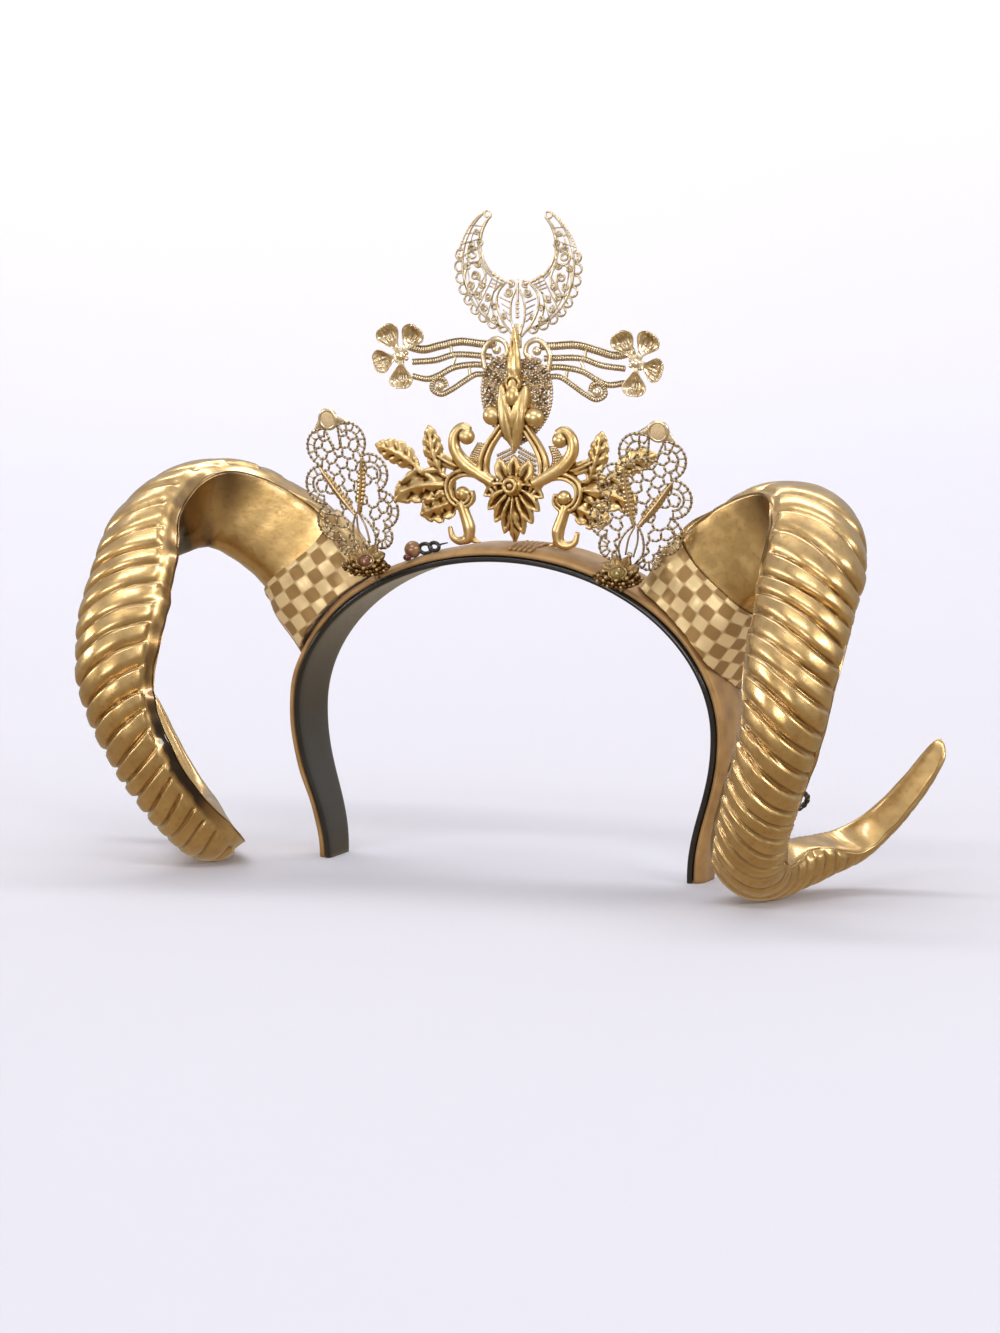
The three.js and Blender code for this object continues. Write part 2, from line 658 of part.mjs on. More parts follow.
function rosette() {
  const edge = [];
  for (let i = 0; i < ROSETTE.petals * 3; i++) {
    const turn = (i / (ROSETTE.petals * 3)) * 2 * Math.PI;
    const reach = ROSETTE.radius - ROSETTE.depth * (1 - Math.abs(Math.sin((turn * ROSETTE.petals) / 2)));
    edge.push(new THREE.Vector2(reach * Math.cos(turn), reach * Math.sin(turn)));
  }
  const plate = new THREE.ExtrudeGeometry(new THREE.Shape(edge), {
    depth: ROSETTE.thickness,
    bevelEnabled: false,
  });
  plate.rotateX(Math.PI / 2);
  return join([plate, ball(0, -ROSETTE.thickness, 0, ROSETTE.stone, 0.7)]);
}

// Beads on the band, on the left only
const BEADS = [
  { name: "pearl", x: -34.6, y: -10, z: 112.6, radius: 2.5, finish: FINISHES.pearl },
  { name: "red_bead", x: -35.2, y: -13.4, z: 110.4, radius: 1.5, finish: FINISHES.redBead },
];

// Assembly

const crown = new THREE.Group();
crown.name = "ram_horn_headband_crown";

function add(parent, name, geometry, material) {
  const mesh = new THREE.Mesh(geometry, material);
  mesh.name = name;
  parent.add(mesh);
  return mesh;
}

const rad = THREE.MathUtils.degToRad;

add(crown, "band_core", bandCore, FINISHES.blackPlastic);
add(crown, "band_cover", bandCover, FINISHES.satin);
add(crown, "crown_casting", geometryOf(casting()), FINISHES.castGold);
add(crown, "drop_filigree", geometryOf(dropPlate()), FINISHES.paleGold);
add(crown, "crescent_filigree", geometryOf(crescentPlate()), FINISHES.paleGold);

const sidePieces = {
  shell: geometryOf(solid(shellSkin).subtract(underBand)),
  panel: geometryOf(solid(panelSkin).subtract(underBand)),
  wrap: geometryOf(wrapSolid.subtract(underBand)),
  arm: geometryOf(armPlate()),
  wing: geometryOf(wingPlate()),
  rosette: geometryOf(rosette()),
};

for (const [side, mirror] of [["right", 1], ["left", -1]]) {
  const half = new THREE.Group();
  half.scale.x = mirror;
  crown.add(half);
  add(half, `horn_shell_${side}`, sidePieces.shell, FINISHES.hornGold);
  add(half, `horn_panel_${side}`, sidePieces.panel, FINISHES.hornGold);
  add(half, `horn_wrap_${side}`, sidePieces.wrap, FINISHES.brocade);
  add(half, `arm_${side}`, sidePieces.arm, FINISHES.paleGold);
  const wing = add(half, `wing_${side}`, sidePieces.wing, FINISHES.paleGold);
  wing.position.set(WING_PLACE.x, WING_PLACE.y, WING_PLACE.z);
  wing.rotation.set(rad(WING_TURN.lean), rad(WING_TURN.tilt), rad(WING_TURN.splay), "ZXY");
  const flower = add(half, `rosette_${side}`, sidePieces.rosette, FINISHES.castGold);
  flower.position.set(ROSETTE_PLACE.x, ROSETTE_PLACE.y, ROSETTE_PLACE.z);
  flower.rotation.set(rad(ROSETTE_LEAN), 0, 0);
}

add(crown, "coil_loop", loopWire(), FINISHES.blackPlastic);
for (const { name, x, y, z, radius, finish } of BEADS) {
  add(crown, name, ball(x, y, z, radius, 1, 10, 6), finish);
}

// The origin is under the middle of the whole crown, on the surface that it stands on
const extent = new THREE.Box3().setFromObject(crown);
crown.position.set(0, -(extent.min.y + extent.max.y) / 2, -extent.min.z);

export default crown;
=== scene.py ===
"""Visual model of a ram horn headband crown: ridged gold horns in brocade cuffs on a padded hair band,
with a tiara of cast scrolls, filigree and beads between them. Shapes are drawn in millimetres."""

import math

import bmesh
import bpy
import numpy as np
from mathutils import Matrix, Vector


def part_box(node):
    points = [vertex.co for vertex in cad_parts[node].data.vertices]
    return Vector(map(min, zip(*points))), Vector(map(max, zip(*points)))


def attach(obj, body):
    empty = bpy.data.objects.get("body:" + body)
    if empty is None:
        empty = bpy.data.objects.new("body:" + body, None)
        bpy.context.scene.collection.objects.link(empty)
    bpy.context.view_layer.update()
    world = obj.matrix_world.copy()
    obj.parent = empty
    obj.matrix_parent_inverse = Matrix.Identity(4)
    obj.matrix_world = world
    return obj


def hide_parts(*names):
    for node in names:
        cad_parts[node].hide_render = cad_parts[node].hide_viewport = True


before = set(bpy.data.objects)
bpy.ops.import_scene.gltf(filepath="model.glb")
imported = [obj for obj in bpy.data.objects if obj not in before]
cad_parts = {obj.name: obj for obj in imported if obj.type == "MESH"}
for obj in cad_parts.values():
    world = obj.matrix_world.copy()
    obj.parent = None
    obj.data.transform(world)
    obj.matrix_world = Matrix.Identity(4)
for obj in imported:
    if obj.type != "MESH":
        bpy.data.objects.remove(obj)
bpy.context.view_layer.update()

# The shapes are drawn with the hair band in the plane y = 0 and moved to where the solids have it
MILLIMETRE = 0.001
BAND_Y = sum(corner.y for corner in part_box("band_core")) / 2 / MILLIMETRE
FULL_TURN = 2 * math.pi
NEARLY_A_TURN = 6.28

# Knots of a curve with less than this between them, as the root of their distance, count as one place
SAME_PLACE = 1e-4

# Hair band
BAND_HALF_WIDTH = 80
BAND_TOP = 111.5
BAND_SHOULDER = 53
BAND_END_HALF_WIDTH = 70
BAND_LEG_HANDLES = (20, 30)
BAND_WIDTH_TOP = 28
BAND_WIDTH_END = 15
CORE_THICKNESS = 2.4
CORE_GAP = 0.08
CORE_EXTRA_WIDTH = 0.8
COVER_THICKNESS = 3.2
COVER_GAP = 0.15
COVER_BUMPS = 0.22

# Horn: centre line x, y, z, section radius and the sideways part of the outward direction, foot to tip
HORN_STATIONS = np.array([
    (60.5, -2, 75.5, 24, -37),
    (68, -2, 84, 24, -37),
    (88.5, -5, 110.5, 22.5, -24),
    (110, -14, 122, 19.8, -8),
    (121.5, -31, 115.5, 18.2, 0),
    (124.6, -47, 98, 17, 0),
    (124.4, -58, 78, 16.4, 0),
    (121, -61.5, 58, 15.9, 0),
    (113.5, -56.5, 39, 15.4, 0),
    (106.5, -47, 24, 14.8, -3),
    (103.5, -35, 14.7, 14.2, -6),
    (107, -21.5, 13.6, 13, -3),
    (114.5, -9, 15.4, 11.6, 5),
    (124.8, 2.5, 20, 9.9, 15),
    (137, 10.5, 32, 8, 27),
    (146.5, 15, 45, 6.4, 36),
    (151, 17, 52, 4.2, 40),
])
COIL_CENTRE = (-20, 66)
HORN_TWIST = math.radians(-38)
HORN_WAIST = 0.12
HORN_GAP = 0.3
FOOT_REACH = 0.3
FOOT_BLEND = 0.15
TIP_START = 0.982
TIP_LENGTH = 0.0181

# Ridged face of the horn section from its medial to its lateral edge: out, side, share of the groove depth
SHELL_ARC = np.array([
    (0.85, -0.68, 0.6),
    (1.0, -0.2, 1.0),
    (0.9, 0.42, 1.0),
    (0.5, 0.88, 1.0),
    (-0.1, 1.0, 0.9),
    (-0.6, 0.75, 0.4),
])
SHELL_COLUMNS = 48
RIDGES = 34
ROWS_PER_RIDGE = 14
RIDGE_DEPTH = 2.9
RIDGE_RADIUS = 18
RIDGE_START = 0.185
RIDGE_END = 0.9
RIDGE_CLOSING = 0.254
RIDGE_SLANT = math.tan(math.radians(25))
ROLL_SKEW = 0.75
ROLL_SQUARENESS = 3.6
MARGIN_LEVEL = 0.42

# Smooth face of the horn section: where its two faces meet, and how round the crease is
CREASE_OUT = -0.75
CREASE_SIDE = (-0.45, -0.15)
CREASE_ROUNDING = 0.3
PANEL_COLUMNS = 44
PANEL_ROWS = 320

# Stretches along the horn as fractions of its length: begins, is full, is still full, has ended
SLANT_SPAN = (0.12, 0.24, 0.84, 0.97)
TWIST_SPAN = (0.25, 0.44, 0.7, 0.8)
WAIST_SPAN = (0.46, 0.55, 0.66, 0.76)
MARGIN_SHADOW_SPAN = (0.2, 0.3, 0.66, 0.74)
PANEL_SHADE_SPAN = (0.16, 0.25, 0.34, 0.5)
WRINKLE_SPAN = (0.74, 0.8, 0.82, 0.88)

# Brocade cuff, with the length that it was cut to in metres
WRAP_LENGTH = 37
CUFF_LIFT = 1.6
CUFF_GAP = 0.25
CUFF_CLOTH = 0.55
CUFF_ROWS = 64
CUFF_COLUMNS = 120
CUFF_TURN_IN = (16, 1)
CUFF_TURN_IN_ROWS = 12
CHECK_SIZE = 5.0

# Sides of the crown: name, mirror, width of the horn's margin, how much painted shadow lies along it, stone
# of the rosette
SIDES = (("right", 1, 2.4, 0.0, "yellow_stone"), ("left", -1, 6.0, 1.0, "brown_stone"))

# Loop on the inner face of the right curl
LOOP_FRACTION = 0.59
LOOP_SEAT = {"out": -0.63, "side": 0.2}
LOOP_HALF_WIDTH = 4
LOOP_HALF_HEIGHT = 5
LOOP_WIRE = 0.9

# Tiara: planes of its layers, the height of its foot and the places of wing and rosette
CASTING_BACK = 0.8
CASTING_VOXEL = 0.33
DROP_Y = 1.5
CRESCENT_Y = 2.6
TIARA_BASE = 113
TIARA_GAP = 0.25
WING_PLACE = np.array((48.6, -16.3, 111))
WING_TURN = {"tilt": 15, "lean": 8, "splay": 6}
ROSETTE_PLACE = np.array((47.4, -20.2, 107.6))
ROSETTE_LEAN = -25
LEAF_ROWS = 48
LEAF_HALF_COLUMNS = 9

# Scrolls of the casting: half width, half depth, ridges along it, share left at the end, knots
SCROLLS = [
    ("lyre arm", 2.1, 1.8, 2, 0.7, [(7, 20), (10.8, 25), (11.2, 30), (9.4, 35), (6, 40), (3.2, 44)]),
    ("large scroll", 2.6, 2.4, 1, 0.62, [(7.6, 22.6), (13.4, 25.8), (18.8, 29.4), (22.2, 34.2), (22, 39),
                                         (19.2, 41.6), (16.4, 40.4)]),
    ("small scroll", 1.7, 1.8, 2, 0.8, [(8, 22.4), (14, 25.2), (19.5, 25.6), (23.6, 23.4), (24.6, 19.6),
                                        (22.6, 15.6), (18.6, 14.4), (16, 16.4), (16.4, 19.4)]),
    ("foot", 2.3, 2.2, 1, 0.35, [(20, 15.4), (18.2, 10.6), (16.8, 6), (17.4, 2.6), (20.2, 1.6), (23, 2.8),
                                 (24.2, 6.6)]),
    ("stem", 1.0, 1.2, 1, 0.8, [(24, 22), (28.5, 21.8), (33, 24.2), (38, 27.4)]),
    ("bud arm", 1.2, 1.3, 1, 1.0, [(2.4, 45), (5.6, 45.4), (8, 46)]),
    ("toe", 1.3, 1.4, 1, 0.4, [(17.6, 5), (15.6, 2.2), (12.4, 0.8)]),
]

# Leaves of the casting: width, height, lobes, notch, lengthwise flutes, trough, rise to the viewer, knots
LEAVES = [
    ("upright leaf", 8.2, 2.6, 5, 0.3, 0, 0, 0.6, [(27.6, 24), (30.8, 32), (32.8, 42)]),
    ("long leaf", 9.6, 2.4, 5, 0.25, 0, 0, 0.6, [(37, 26.8), (44, 31.2), (53.4, 34.4)]),
    ("acanthus", 12.6, 3.6, 4, 0.3, 2, 0, 1.0, [(22.5, 20.8), (31, 21), (39, 19.4), (46, 14.6)]),
    ("low acanthus", 11.6, 3.4, 4, 0.35, 2, 0, 0.6, [(20.5, 16.6), (28, 13.4), (36, 10)]),
    ("spur", 4.8, 2.8, 1, 0.0, 0, 0, 0.0, [(18.5, 27), (25, 29), (30.5, 31.8)]),
    ("upper petal", 4.6, 4.2, 1, 0.0, 0, 0.6, 1.2, [(1.6, 21.6), (6.4, 20.8), (11.2, 17.8)]),
    ("side petal", 4.6, 4.6, 1, 0.0, 0, 0.6, 1.0, [(1.4, 20.6), (5.6, 17.4), (9.6, 13)]),
    ("low petal", 4.6, 4.6, 1, 0.0, 0, 0.6, 0.8, [(1.0, 20), (4, 14.6), (7, 8.6)]),
    ("lowest petal", 4.4, 4.4, 1, 0.0, 0, 0.5, 0.6, [(0.5, 19), (2, 12), (3.6, 4.8)]),
    ("lobe", 5.6, 3.0, 1, 0.0, 0, 0.4, 0.8, [(2.2, 22.6), (4.6, 26.6), (5.8, 31)]),
]
MIDDLE_LEAVES = [
    ("hanging leaf", 5.4, 5.0, 3, 0.1, 0, 0, 0.0, [(0, 20), (0, 11), (0, 1.8)]),
    ("top petal", 5.0, 3.4, 1, 0.0, 0, 0.4, 0.8, [(0, 23), (0, 32.4)]),
]
BUD_LEAF = ("bud leaf", 6.2, 5.2, 1, 0.0, 0, 0.06, 0.4, [(4.6, 57), (3.0, 50), (1.7, 43), (0.2, 34.6)])

# Balls of the casting: x, z, radius
BALLS = [(8, 46, 3.4), (17.6, 38.4, 2.9), (19.2, 18.4, 2.6)]
FLOWER_Z = 22

# Bud and spike: heights of the knots, then half widths at shares of the length
BUD_KNOTS = (33.6, 40, 46, 51, 55)
BUD_WIDTHS = ([0, 0.3, 0.6, 0.85, 1], [0.5, 2.0, 3.4, 4.2, 3.0])
SPIKE_KNOTS = (53, 58, 60.5, 66, 72, 77.2)
SPIKE_WIDTHS = ([0, 0.14, 0.24, 0.4, 0.6, 1], [2.6, 2.9, 2.2, 2.9, 2.3, 0.3])

# Pear-shaped filigree behind the spike
DROP_HALF = [(0, 35.5), (6.5, 40), (11.6, 47), (13, 55), (11.8, 62)]
DROP_TOP = [(12, 62), (12.6, 67), (11, 70.6), (7.6, 72.6), (4.2, 71), (3.6, 67.6), (5.8, 66)]
DROP_CLOSING = [(10, 66), (3, 66), (0, 64)]
CURL_PITCH = 2.05
CURL_ROWS = 18
CURL_COLUMNS = 8
CURL_BASE = 36.5

# Crescent: two arcs, and curls in the field between them as x, z, radius, start, turns
CRESCENT = {"z": 98, "outer": 22.6, "inner_z": 105.4, "inner": 14.2, "tip_x": 11.4, "tip_z": 116.4}
CRESCENT_CURLS = [
    (15.6, 109.4, 1.1, 0.5, 1.6),
    (14.6, 106, 1.3, 2.5, 1.3),
    (17.6, 105.4, 1.2, 4.0, 1.3),
    (17.0, 101.6, 2.1, 1.0, 1.2),
    (15.0, 98.4, 1.3, 3.4, 1.5),
    (19.2, 97.4, 1.3, 5.0, 1.4),
    (16.2, 94.2, 1.8, 0.3, 1.6),
    (18.0, 91.0, 1.5, 2.2, 1.4),
    (13.4, 91.2, 1.5, 4.4, 1.5),
    (15.4, 87.4, 1.6, 1.2, 1.5),
    (11.4, 87.0, 1.4, 3.0, 1.4),
    (12.6, 83.2, 1.4, 5.2, 1.4),
    (8.8, 83.6, 1.4, 0.8, 1.4),
    (9.0, 79.6, 1.3, 2.6, 1.3),
    (2.6, 92.0, 1.3, 1.6, 1.6),
    (3.6, 88.8, 1.6, 1.6, 1.7),
    (5.4, 80.6, 1.1, 3.6, 1.3),
]
CRESCENT_OVALS = [(16.2, 93.4, 3.9, 1.45), (16.8, 101.6, 2.7, 1.1)]
CRESCENT_STRUTS = (0.14, 0.2, 0.27, 0.36, 0.62, 0.7, 0.78)
CRESCENT_WIRE = 0.44
CRESCENT_DEPTH = 0.42
CRESCENT_STEM_TOP = 93.6

# Lines in the foot of the crescent: half width, lift to the viewer, knots
CRESCENT_FOOT = [
    (0.42, 0.3, [(0.6, 90), (2.4, 85.6), (2.6, 80), (0.8, 74)]),
    (0.46, 0.3, [(4.2, 92.6), (7.4, 88.6), (7.8, 84), (5.2, 78), (1.4, 73.6)]),
    (0.4, 0.0, [(6, 92), (9.6, 88), (9.4, 82), (6.4, 76)]),
]

# Arms: half width of each wire and its knots
ARM_WIRES = [
    (1.4, [(8.4, 70.2), (14, 70.5), (22, 71), (29.3, 69.4), (36.5, 67.8), (43.6, 69.4)]),
    (1.05, [(10, 66), (14, 66.3), (24, 66.4), (31.2, 64.3), (40, 63.4)]),
    (1.05, [(10.5, 62.6), (15, 63.2), (24, 62), (30, 59), (34, 57.6), (40, 58.4)]),
    (0.95, [(11, 59.6), (15.6, 59.8), (20.2, 57.3), (25.1, 54.2), (29.5, 52.4), (32.8, 54.4), (31.4, 57.8),
            (28, 57.6), (27, 55)]),
]
ARM_STRUTS = [[(25, 66), (25.6, 70.6)], [(25, 62), (23.6, 66)], [(18, 58.6), (18.6, 62.6)]]
ARM_KNOB = (29.6, 55.2)
ARM_FLOWER = np.array((44.4, 65.6))
ARM_GRAINS = 7
PETAL_TIPS = [(49, 73), (39.6, 73), (51, 63.6), (44, 57.6)]
PETAL_RADIUS = 3.5
PETAL_STEM = 0.9
PETAL_ROWS = 22
PETAL_COLUMNS = 25

# Wing, drawn upright from its foot at 0
WING_Y = 0.4
WING_HEART = 16.5
WING_SEAT = 48.6
WING_CELL = 2.4
WING_BORDER = 2.7
WING_STRUTS = 7
WING_VEIN = [(0.7, 13.9), (2.9, 18.5), (5.6, 24.5), (9, 33)]
WING_OPENING = [(0.5, WING_HEART - 2), (3.4, 10), (4.4, 5), (2.6, 0.6)]
WING_OPENING_LINE = [(0.6, WING_HEART - 3), (1.6, 9), (1.4, 3)]
WING_SLOT = [(0, 37.6), (1.7, 38.6), (2.0, 41.5), (2.6, 45)]
WING_PLATE = [(0.5, 49.4), (7.6, 45.2)]

# Lobes of half a wing: centre, radius, first and last direction in degrees
WING_LOBES = [
    (5.2, 39.4, 6.7, 110, -62),
    (10.2, 26.8, 6.7, 105, -75),
    (10.0, 13.4, 6.7, 80, -95),
    (6.6, 4.6, 4.6, 40, -130),
]

# Rosette: tips of its petals, and radius and count of each row of seed beads
ROSETTE_PETALS = [(-6.6, 3.4), (-2.6, 6.4), (3.0, 6.2), (7.2, 2.6)]
ROSETTE_ROWS = [(4.5, 13), (6.3, 17), (7.9, 15)]
STONE_SIDES = 8
STONE_RINGS = (0.5, 1.0, 1.45)
STONE_SIZE = (3.1, 1.9, 2.2)
STONE_Y = -1.9

# Beads, tie links and thread binding on the band
PEARL = {"centre": (-34.6, -10, 111.9), "radius": 3.0}
RED_BEAD = {"centre": (-35.2, -13.4, 109.4), "radius": 1.5}
TIE_Y = -10
TIE_LINKS = [(-29.8, 112.4, 1.7), (-26.4, 113.2, 1.4)]
TIE_STRETCH = 1.3
TIE_TAIL = [(-25.2, 113.6), (-23.4, 114.3), (-21.2, 114.8)]
BINDING_X = [3.4, 5.3, 7.2, 9.1, 11.0]
BINDING_Y = (-13.4, 3)

# Stage in metres and watts: the backdrop, the room's light from straight down to straight up, and the lights
BACKDROP_REACH = (-4.0, 1.2)
BACKDROP_BEND = 1.2
BACKDROP_HEIGHT = 6.0
BACKDROP_HALF_WIDTH = 5
ROOM_LIGHT = [
    (0.0, (0.42, 0.32, 0.21, 1)),
    (0.42, (0.38, 0.32, 0.24, 1)),
    (0.58, (0.46, 0.43, 0.40, 1)),
    (1.0, (0.58, 0.58, 0.62, 1)),
]
CROWN_MIDDLE = (0, 0, 0.1)

# Name, place, target, size, power
LIGHTS = [
    ("key", (0.1, -1.1, 1.5), CROWN_MIDDLE, (1.4, 0.18), 9),
    ("left_fill", (-1.7, -0.9, 0.5), CROWN_MIDDLE, (1.1, 0.3), 9),
    ("right_fill", (1.6, -0.4, 0.8), CROWN_MIDDLE, (1.3, 0.25), 11),
    ("front_fill", (-0.1, -1.9, 0.25), CROWN_MIDDLE, (0.9, 0.4), 7),
    ("back_wash", (-0.5, 0.9, 2.4), (-0.8, 1.9, 0.4), (3.0, 1.0), 51),
]

# Camera, as in the photo of 1000 by 1333 pixels
CAMERA_TARGET = np.array((-4.83, -2.05, 71.14))
CAMERA_YAW = math.radians(23)
CAMERA_ELEVATION = math.radians(7.5)
CAMERA_DISTANCE = 1900
CAMERA_LENS = 146.6
CAMERA_SENSOR = 36

random = np.random.default_rng(7)


# Curves and skins

def unit(vectors):
    return vectors / np.linalg.norm(vectors, axis=-1, keepdims=True)


def smooth(start, end, value):
    """0 on the near side of start and 1 past end, with a soft change between them."""
    share = np.clip((value - start) / (end - start), 0, 1)
    return share * share * (3 - 2 * share)


def hump(begin, full, still_full, end, value):
    """1 between full and still_full, 0 before begin and after end."""
    return smooth(begin, full, value) * (1 - smooth(still_full, end, value))


def run_of(path):
    """Distance along the path at each of its points."""
    return np.concatenate([[0], np.cumsum(np.linalg.norm(np.diff(path, axis=0), axis=1))])


def read_off(table, run, place):
    """Rows of a table at places along its run, between its own rows."""
    return np.stack([np.interp(place, run, column) for column in table.T], -1)


def spline(knots, share):
    """Points of the centripetal curve through the knots, at shares from 0 to 1 of its run of knots."""
    knots = np.asarray(knots, float)
    padded = np.vstack([2 * knots[0] - knots[1], knots, 2 * knots[-1] - knots[-2]])
    spans = len(knots) - 1
    place = np.clip(np.asarray(share, float) * spans, 0, spans)
    span = np.minimum(place.astype(int), spans - 1)
    w = (place - span)[:, None]
    a, b, c, d = (padded[span + k] for k in range(4))
    steps = [np.sqrt(np.linalg.norm(q - p, axis=1))[:, None] for p, q in ((a, b), (b, c), (c, d))]
    step = np.where(steps[1] < SAME_PLACE, 1, steps[1])
    before, after = (np.where(other < SAME_PLACE, step, other) for other in (steps[0], steps[2]))
    leave = ((b - a) / before - (c - a) / (before + step) + (c - b) / step) * step
    arrive = ((c - b) / step - (d - b) / (step + after) + (d - c) / after) * step
    return b + leave * w + (3 * (c - b) - 2 * leave - arrive) * w**2 + (2 * (b - c) + leave + arrive) * w**3


def resampled(path, count, closed=False):
    """The path with points at equal distances."""
    path = np.asarray(path, float)
    whole = np.vstack([path, path[:1]]) if closed else path
    run = run_of(whole)
    return read_off(whole, run, np.linspace(0, run[-1], count, endpoint=not closed))


def curve(knots, count):
    return resampled(spline(knots, np.linspace(0, 1, 12 * len(knots) + 1)), count)


def upright(path, y):
    """Across and up pairs as points of the plane at y."""
    path = np.asarray(path, float)
    return np.stack([path[:, 0], np.full(len(path), float(y)), path[:, 1]], 1)


def ring(x, z, radius, count=24, start=0.0, sweep=FULL_TURN, tall=1.0):
    turn = start + sweep * np.linspace(0, 1, count, endpoint=abs(sweep) < NEARLY_A_TURN)
    return np.stack([x + radius * np.cos(turn), z + tall * radius * np.sin(turn)], 1)


def spiral(x, z, radius, start, turns, count, inner=0.2):
    turn = start + FULL_TURN * turns * np.linspace(0, 1, count)
    grow = radius * np.linspace(inner, 1, count)
    return np.stack([x + grow * np.cos(turn), z + grow * np.sin(turn)], 1)


def beside(line, offset):
    """The flat line moved sideways, to its left for a positive offset."""
    normal = unit(np.gradient(line, axis=0))[:, ::-1] * (-1, 1)
    return line + normal * np.reshape(offset, (-1, 1))


def quads(rows, columns, closed=False):
    """Faces of a grid of points that goes round in its columns and, where it is closed, in its rows."""
    i, j = np.meshgrid(np.arange(rows if closed else rows - 1), np.arange(columns), indexing="ij")
    i, j = i.ravel(), j.ravel()
    down, across = (i + 1) % rows, (j + 1) % columns
    return np.stack([i * columns + j, i * columns + across, down * columns + across, down * columns + j], 1)


def capped(rows, columns):
    """Faces of such a grid with both ends closed."""
    first = np.arange(columns)[None, :]
    return [quads(rows, columns), first[:, ::-1], first + (rows - 1) * columns]


def lumps(*places, seed=0, waves=7):
    """Soft irregular waves between about -1 and 1 over the given places."""
    chance = np.random.default_rng(100 + seed)
    total = 0
    for _ in range(waves):
        pull = chance.normal(size=len(places))
        total = total + np.sin(sum(k * p for k, p in zip(pull, places)) + chance.uniform(0, NEARLY_A_TURN))
    return total / math.sqrt(waves)


class Shape:
    """Closed skins in millimetres gathered into one mesh, with named values at its points."""

    def __init__(self):
        self.blocks = []
        self.faces = []
        self.values = []
        self.size = 0

    def add(self, skin, **values):
        points, faces = skin
        points = np.asarray(points, float).reshape(-1, 3)
        for block in faces:
            self.faces.extend((np.asarray(block) + self.size).tolist())
        self.blocks.append(points)
        self.values.append({name: np.broadcast_to(v, len(points)) for name, v in values.items()})
        self.size += len(points)
        return self

    def both(self, skin, **values):
        """The skin and its mirror image in x."""
        points, faces = skin
        points = np.asarray(points, float).reshape(-1, 3)
        self.add((points, faces), **values)
        return self.add((points * (-1, 1, 1), faces), **values)

    def bar(self, path, y, across, deep=None, sides=8, closed=False, single=False, **values):
        """A wire along a flat path in the plane at y, with its mirror image unless it is single."""
        skin = tube(upright(path, y), across, deep, sides, closed)
        return self.add(skin, **values) if single else self.both(skin, **values)

    def moved(self, place, turn=np.eye(3)):
        self.blocks = [block @ turn.T + place for block in self.blocks]
        return self

    def points(self):
        return np.vstack(self.blocks)

    def value(self, name):
        parts = [v.get(name, np.zeros(len(p))) for v, p in zip(self.values, self.blocks)]
        return np.concatenate(parts)

    def names(self):
        return sorted({name for v in self.values for name in v})


def tube(path, across, deep=None, sides=8, closed=False, facing=(0, -1, 0)):
    """A skin round a path, with its half width and half depth."""
    path = np.asarray(path, float)
    ahead = unit(np.roll(path, -1, 0) - np.roll(path, 1, 0) if closed else np.gradient(path, axis=0))
    facing = np.asarray(facing, float)
    front = unit(facing - ahead * (ahead @ facing)[:, None])
    side = np.cross(ahead, front)
    across = np.broadcast_to(across, len(path))[:, None, None]
    deep = across if deep is None else np.broadcast_to(deep, len(path))[:, None, None]
    turn = np.linspace(0, FULL_TURN, sides, endpoint=False)[None, :, None]
    points = path[:, None] + across * np.cos(turn) * side[:, None] + deep * np.sin(turn) * front[:, None]
    return points, [quads(len(path), sides, True)] if closed else capped(len(path), sides)


def beaded(path, radius, pitch, deep=1.0, samples_each=6):
    """A wire of small beads."""
    samples = samples_each * max(2, round(run_of(path)[-1] / pitch)) + 1
    swell = 0.55 + 0.45 * np.abs(np.sin(math.pi * np.arange(samples) / samples_each))
    return tube(resampled(path, samples), radius * swell, deep * radius * swell, 6)


def ribbed(path, half_width, half_depth, pitch=0.9, leafy=False, samples_each=5, sides=8):
    """A flat wire or leaf with fine ribs across it, and its shade, which is deeper between the ribs."""
    samples = samples_each * max(2, round(run_of(path)[-1] / pitch)) + 1
    wave = 0.5 + 0.5 * np.cos(FULL_TURN * np.arange(samples) / samples_each)
    size = np.sin(math.pi * np.linspace(0.1, 0.94, samples)) if leafy else 1.0
    across = half_width * size * (0.85 + 0.15 * wave)
    deep = half_depth * (0.45 + 0.55 * wave)
    # Painted shade, deeper between the ribs
    return tube(resampled(path, samples), across, deep, sides), np.repeat(0.6 - 0.55 * wave, sides)


def ball(centre, radius, flatten=(1, 1, 1), rows=7, columns=10):
    polar = np.linspace(0, math.pi, rows + 1)[1:-1, None]
    turn = np.linspace(0, FULL_TURN, columns, endpoint=False)[None, :]
    wide = np.sin(polar)
    grid = np.stack([wide * np.cos(turn), -np.cos(polar) + 0 * turn, wide * np.sin(turn)], -1)
    points = np.vstack([grid.reshape(-1, 3), (0, -1, 0), (0, 1, 0)])
    pole = np.full(columns, (rows - 1) * columns)
    j = np.arange(columns)
    k = (j + 1) % columns
    last = (rows - 2) * columns
    ends = [np.stack([pole, k, j], 1), np.stack([pole + 1, last + j, last + k], 1)]
    return np.asarray(centre) + radius * points * flatten, [quads(rows - 1, columns)] + ends


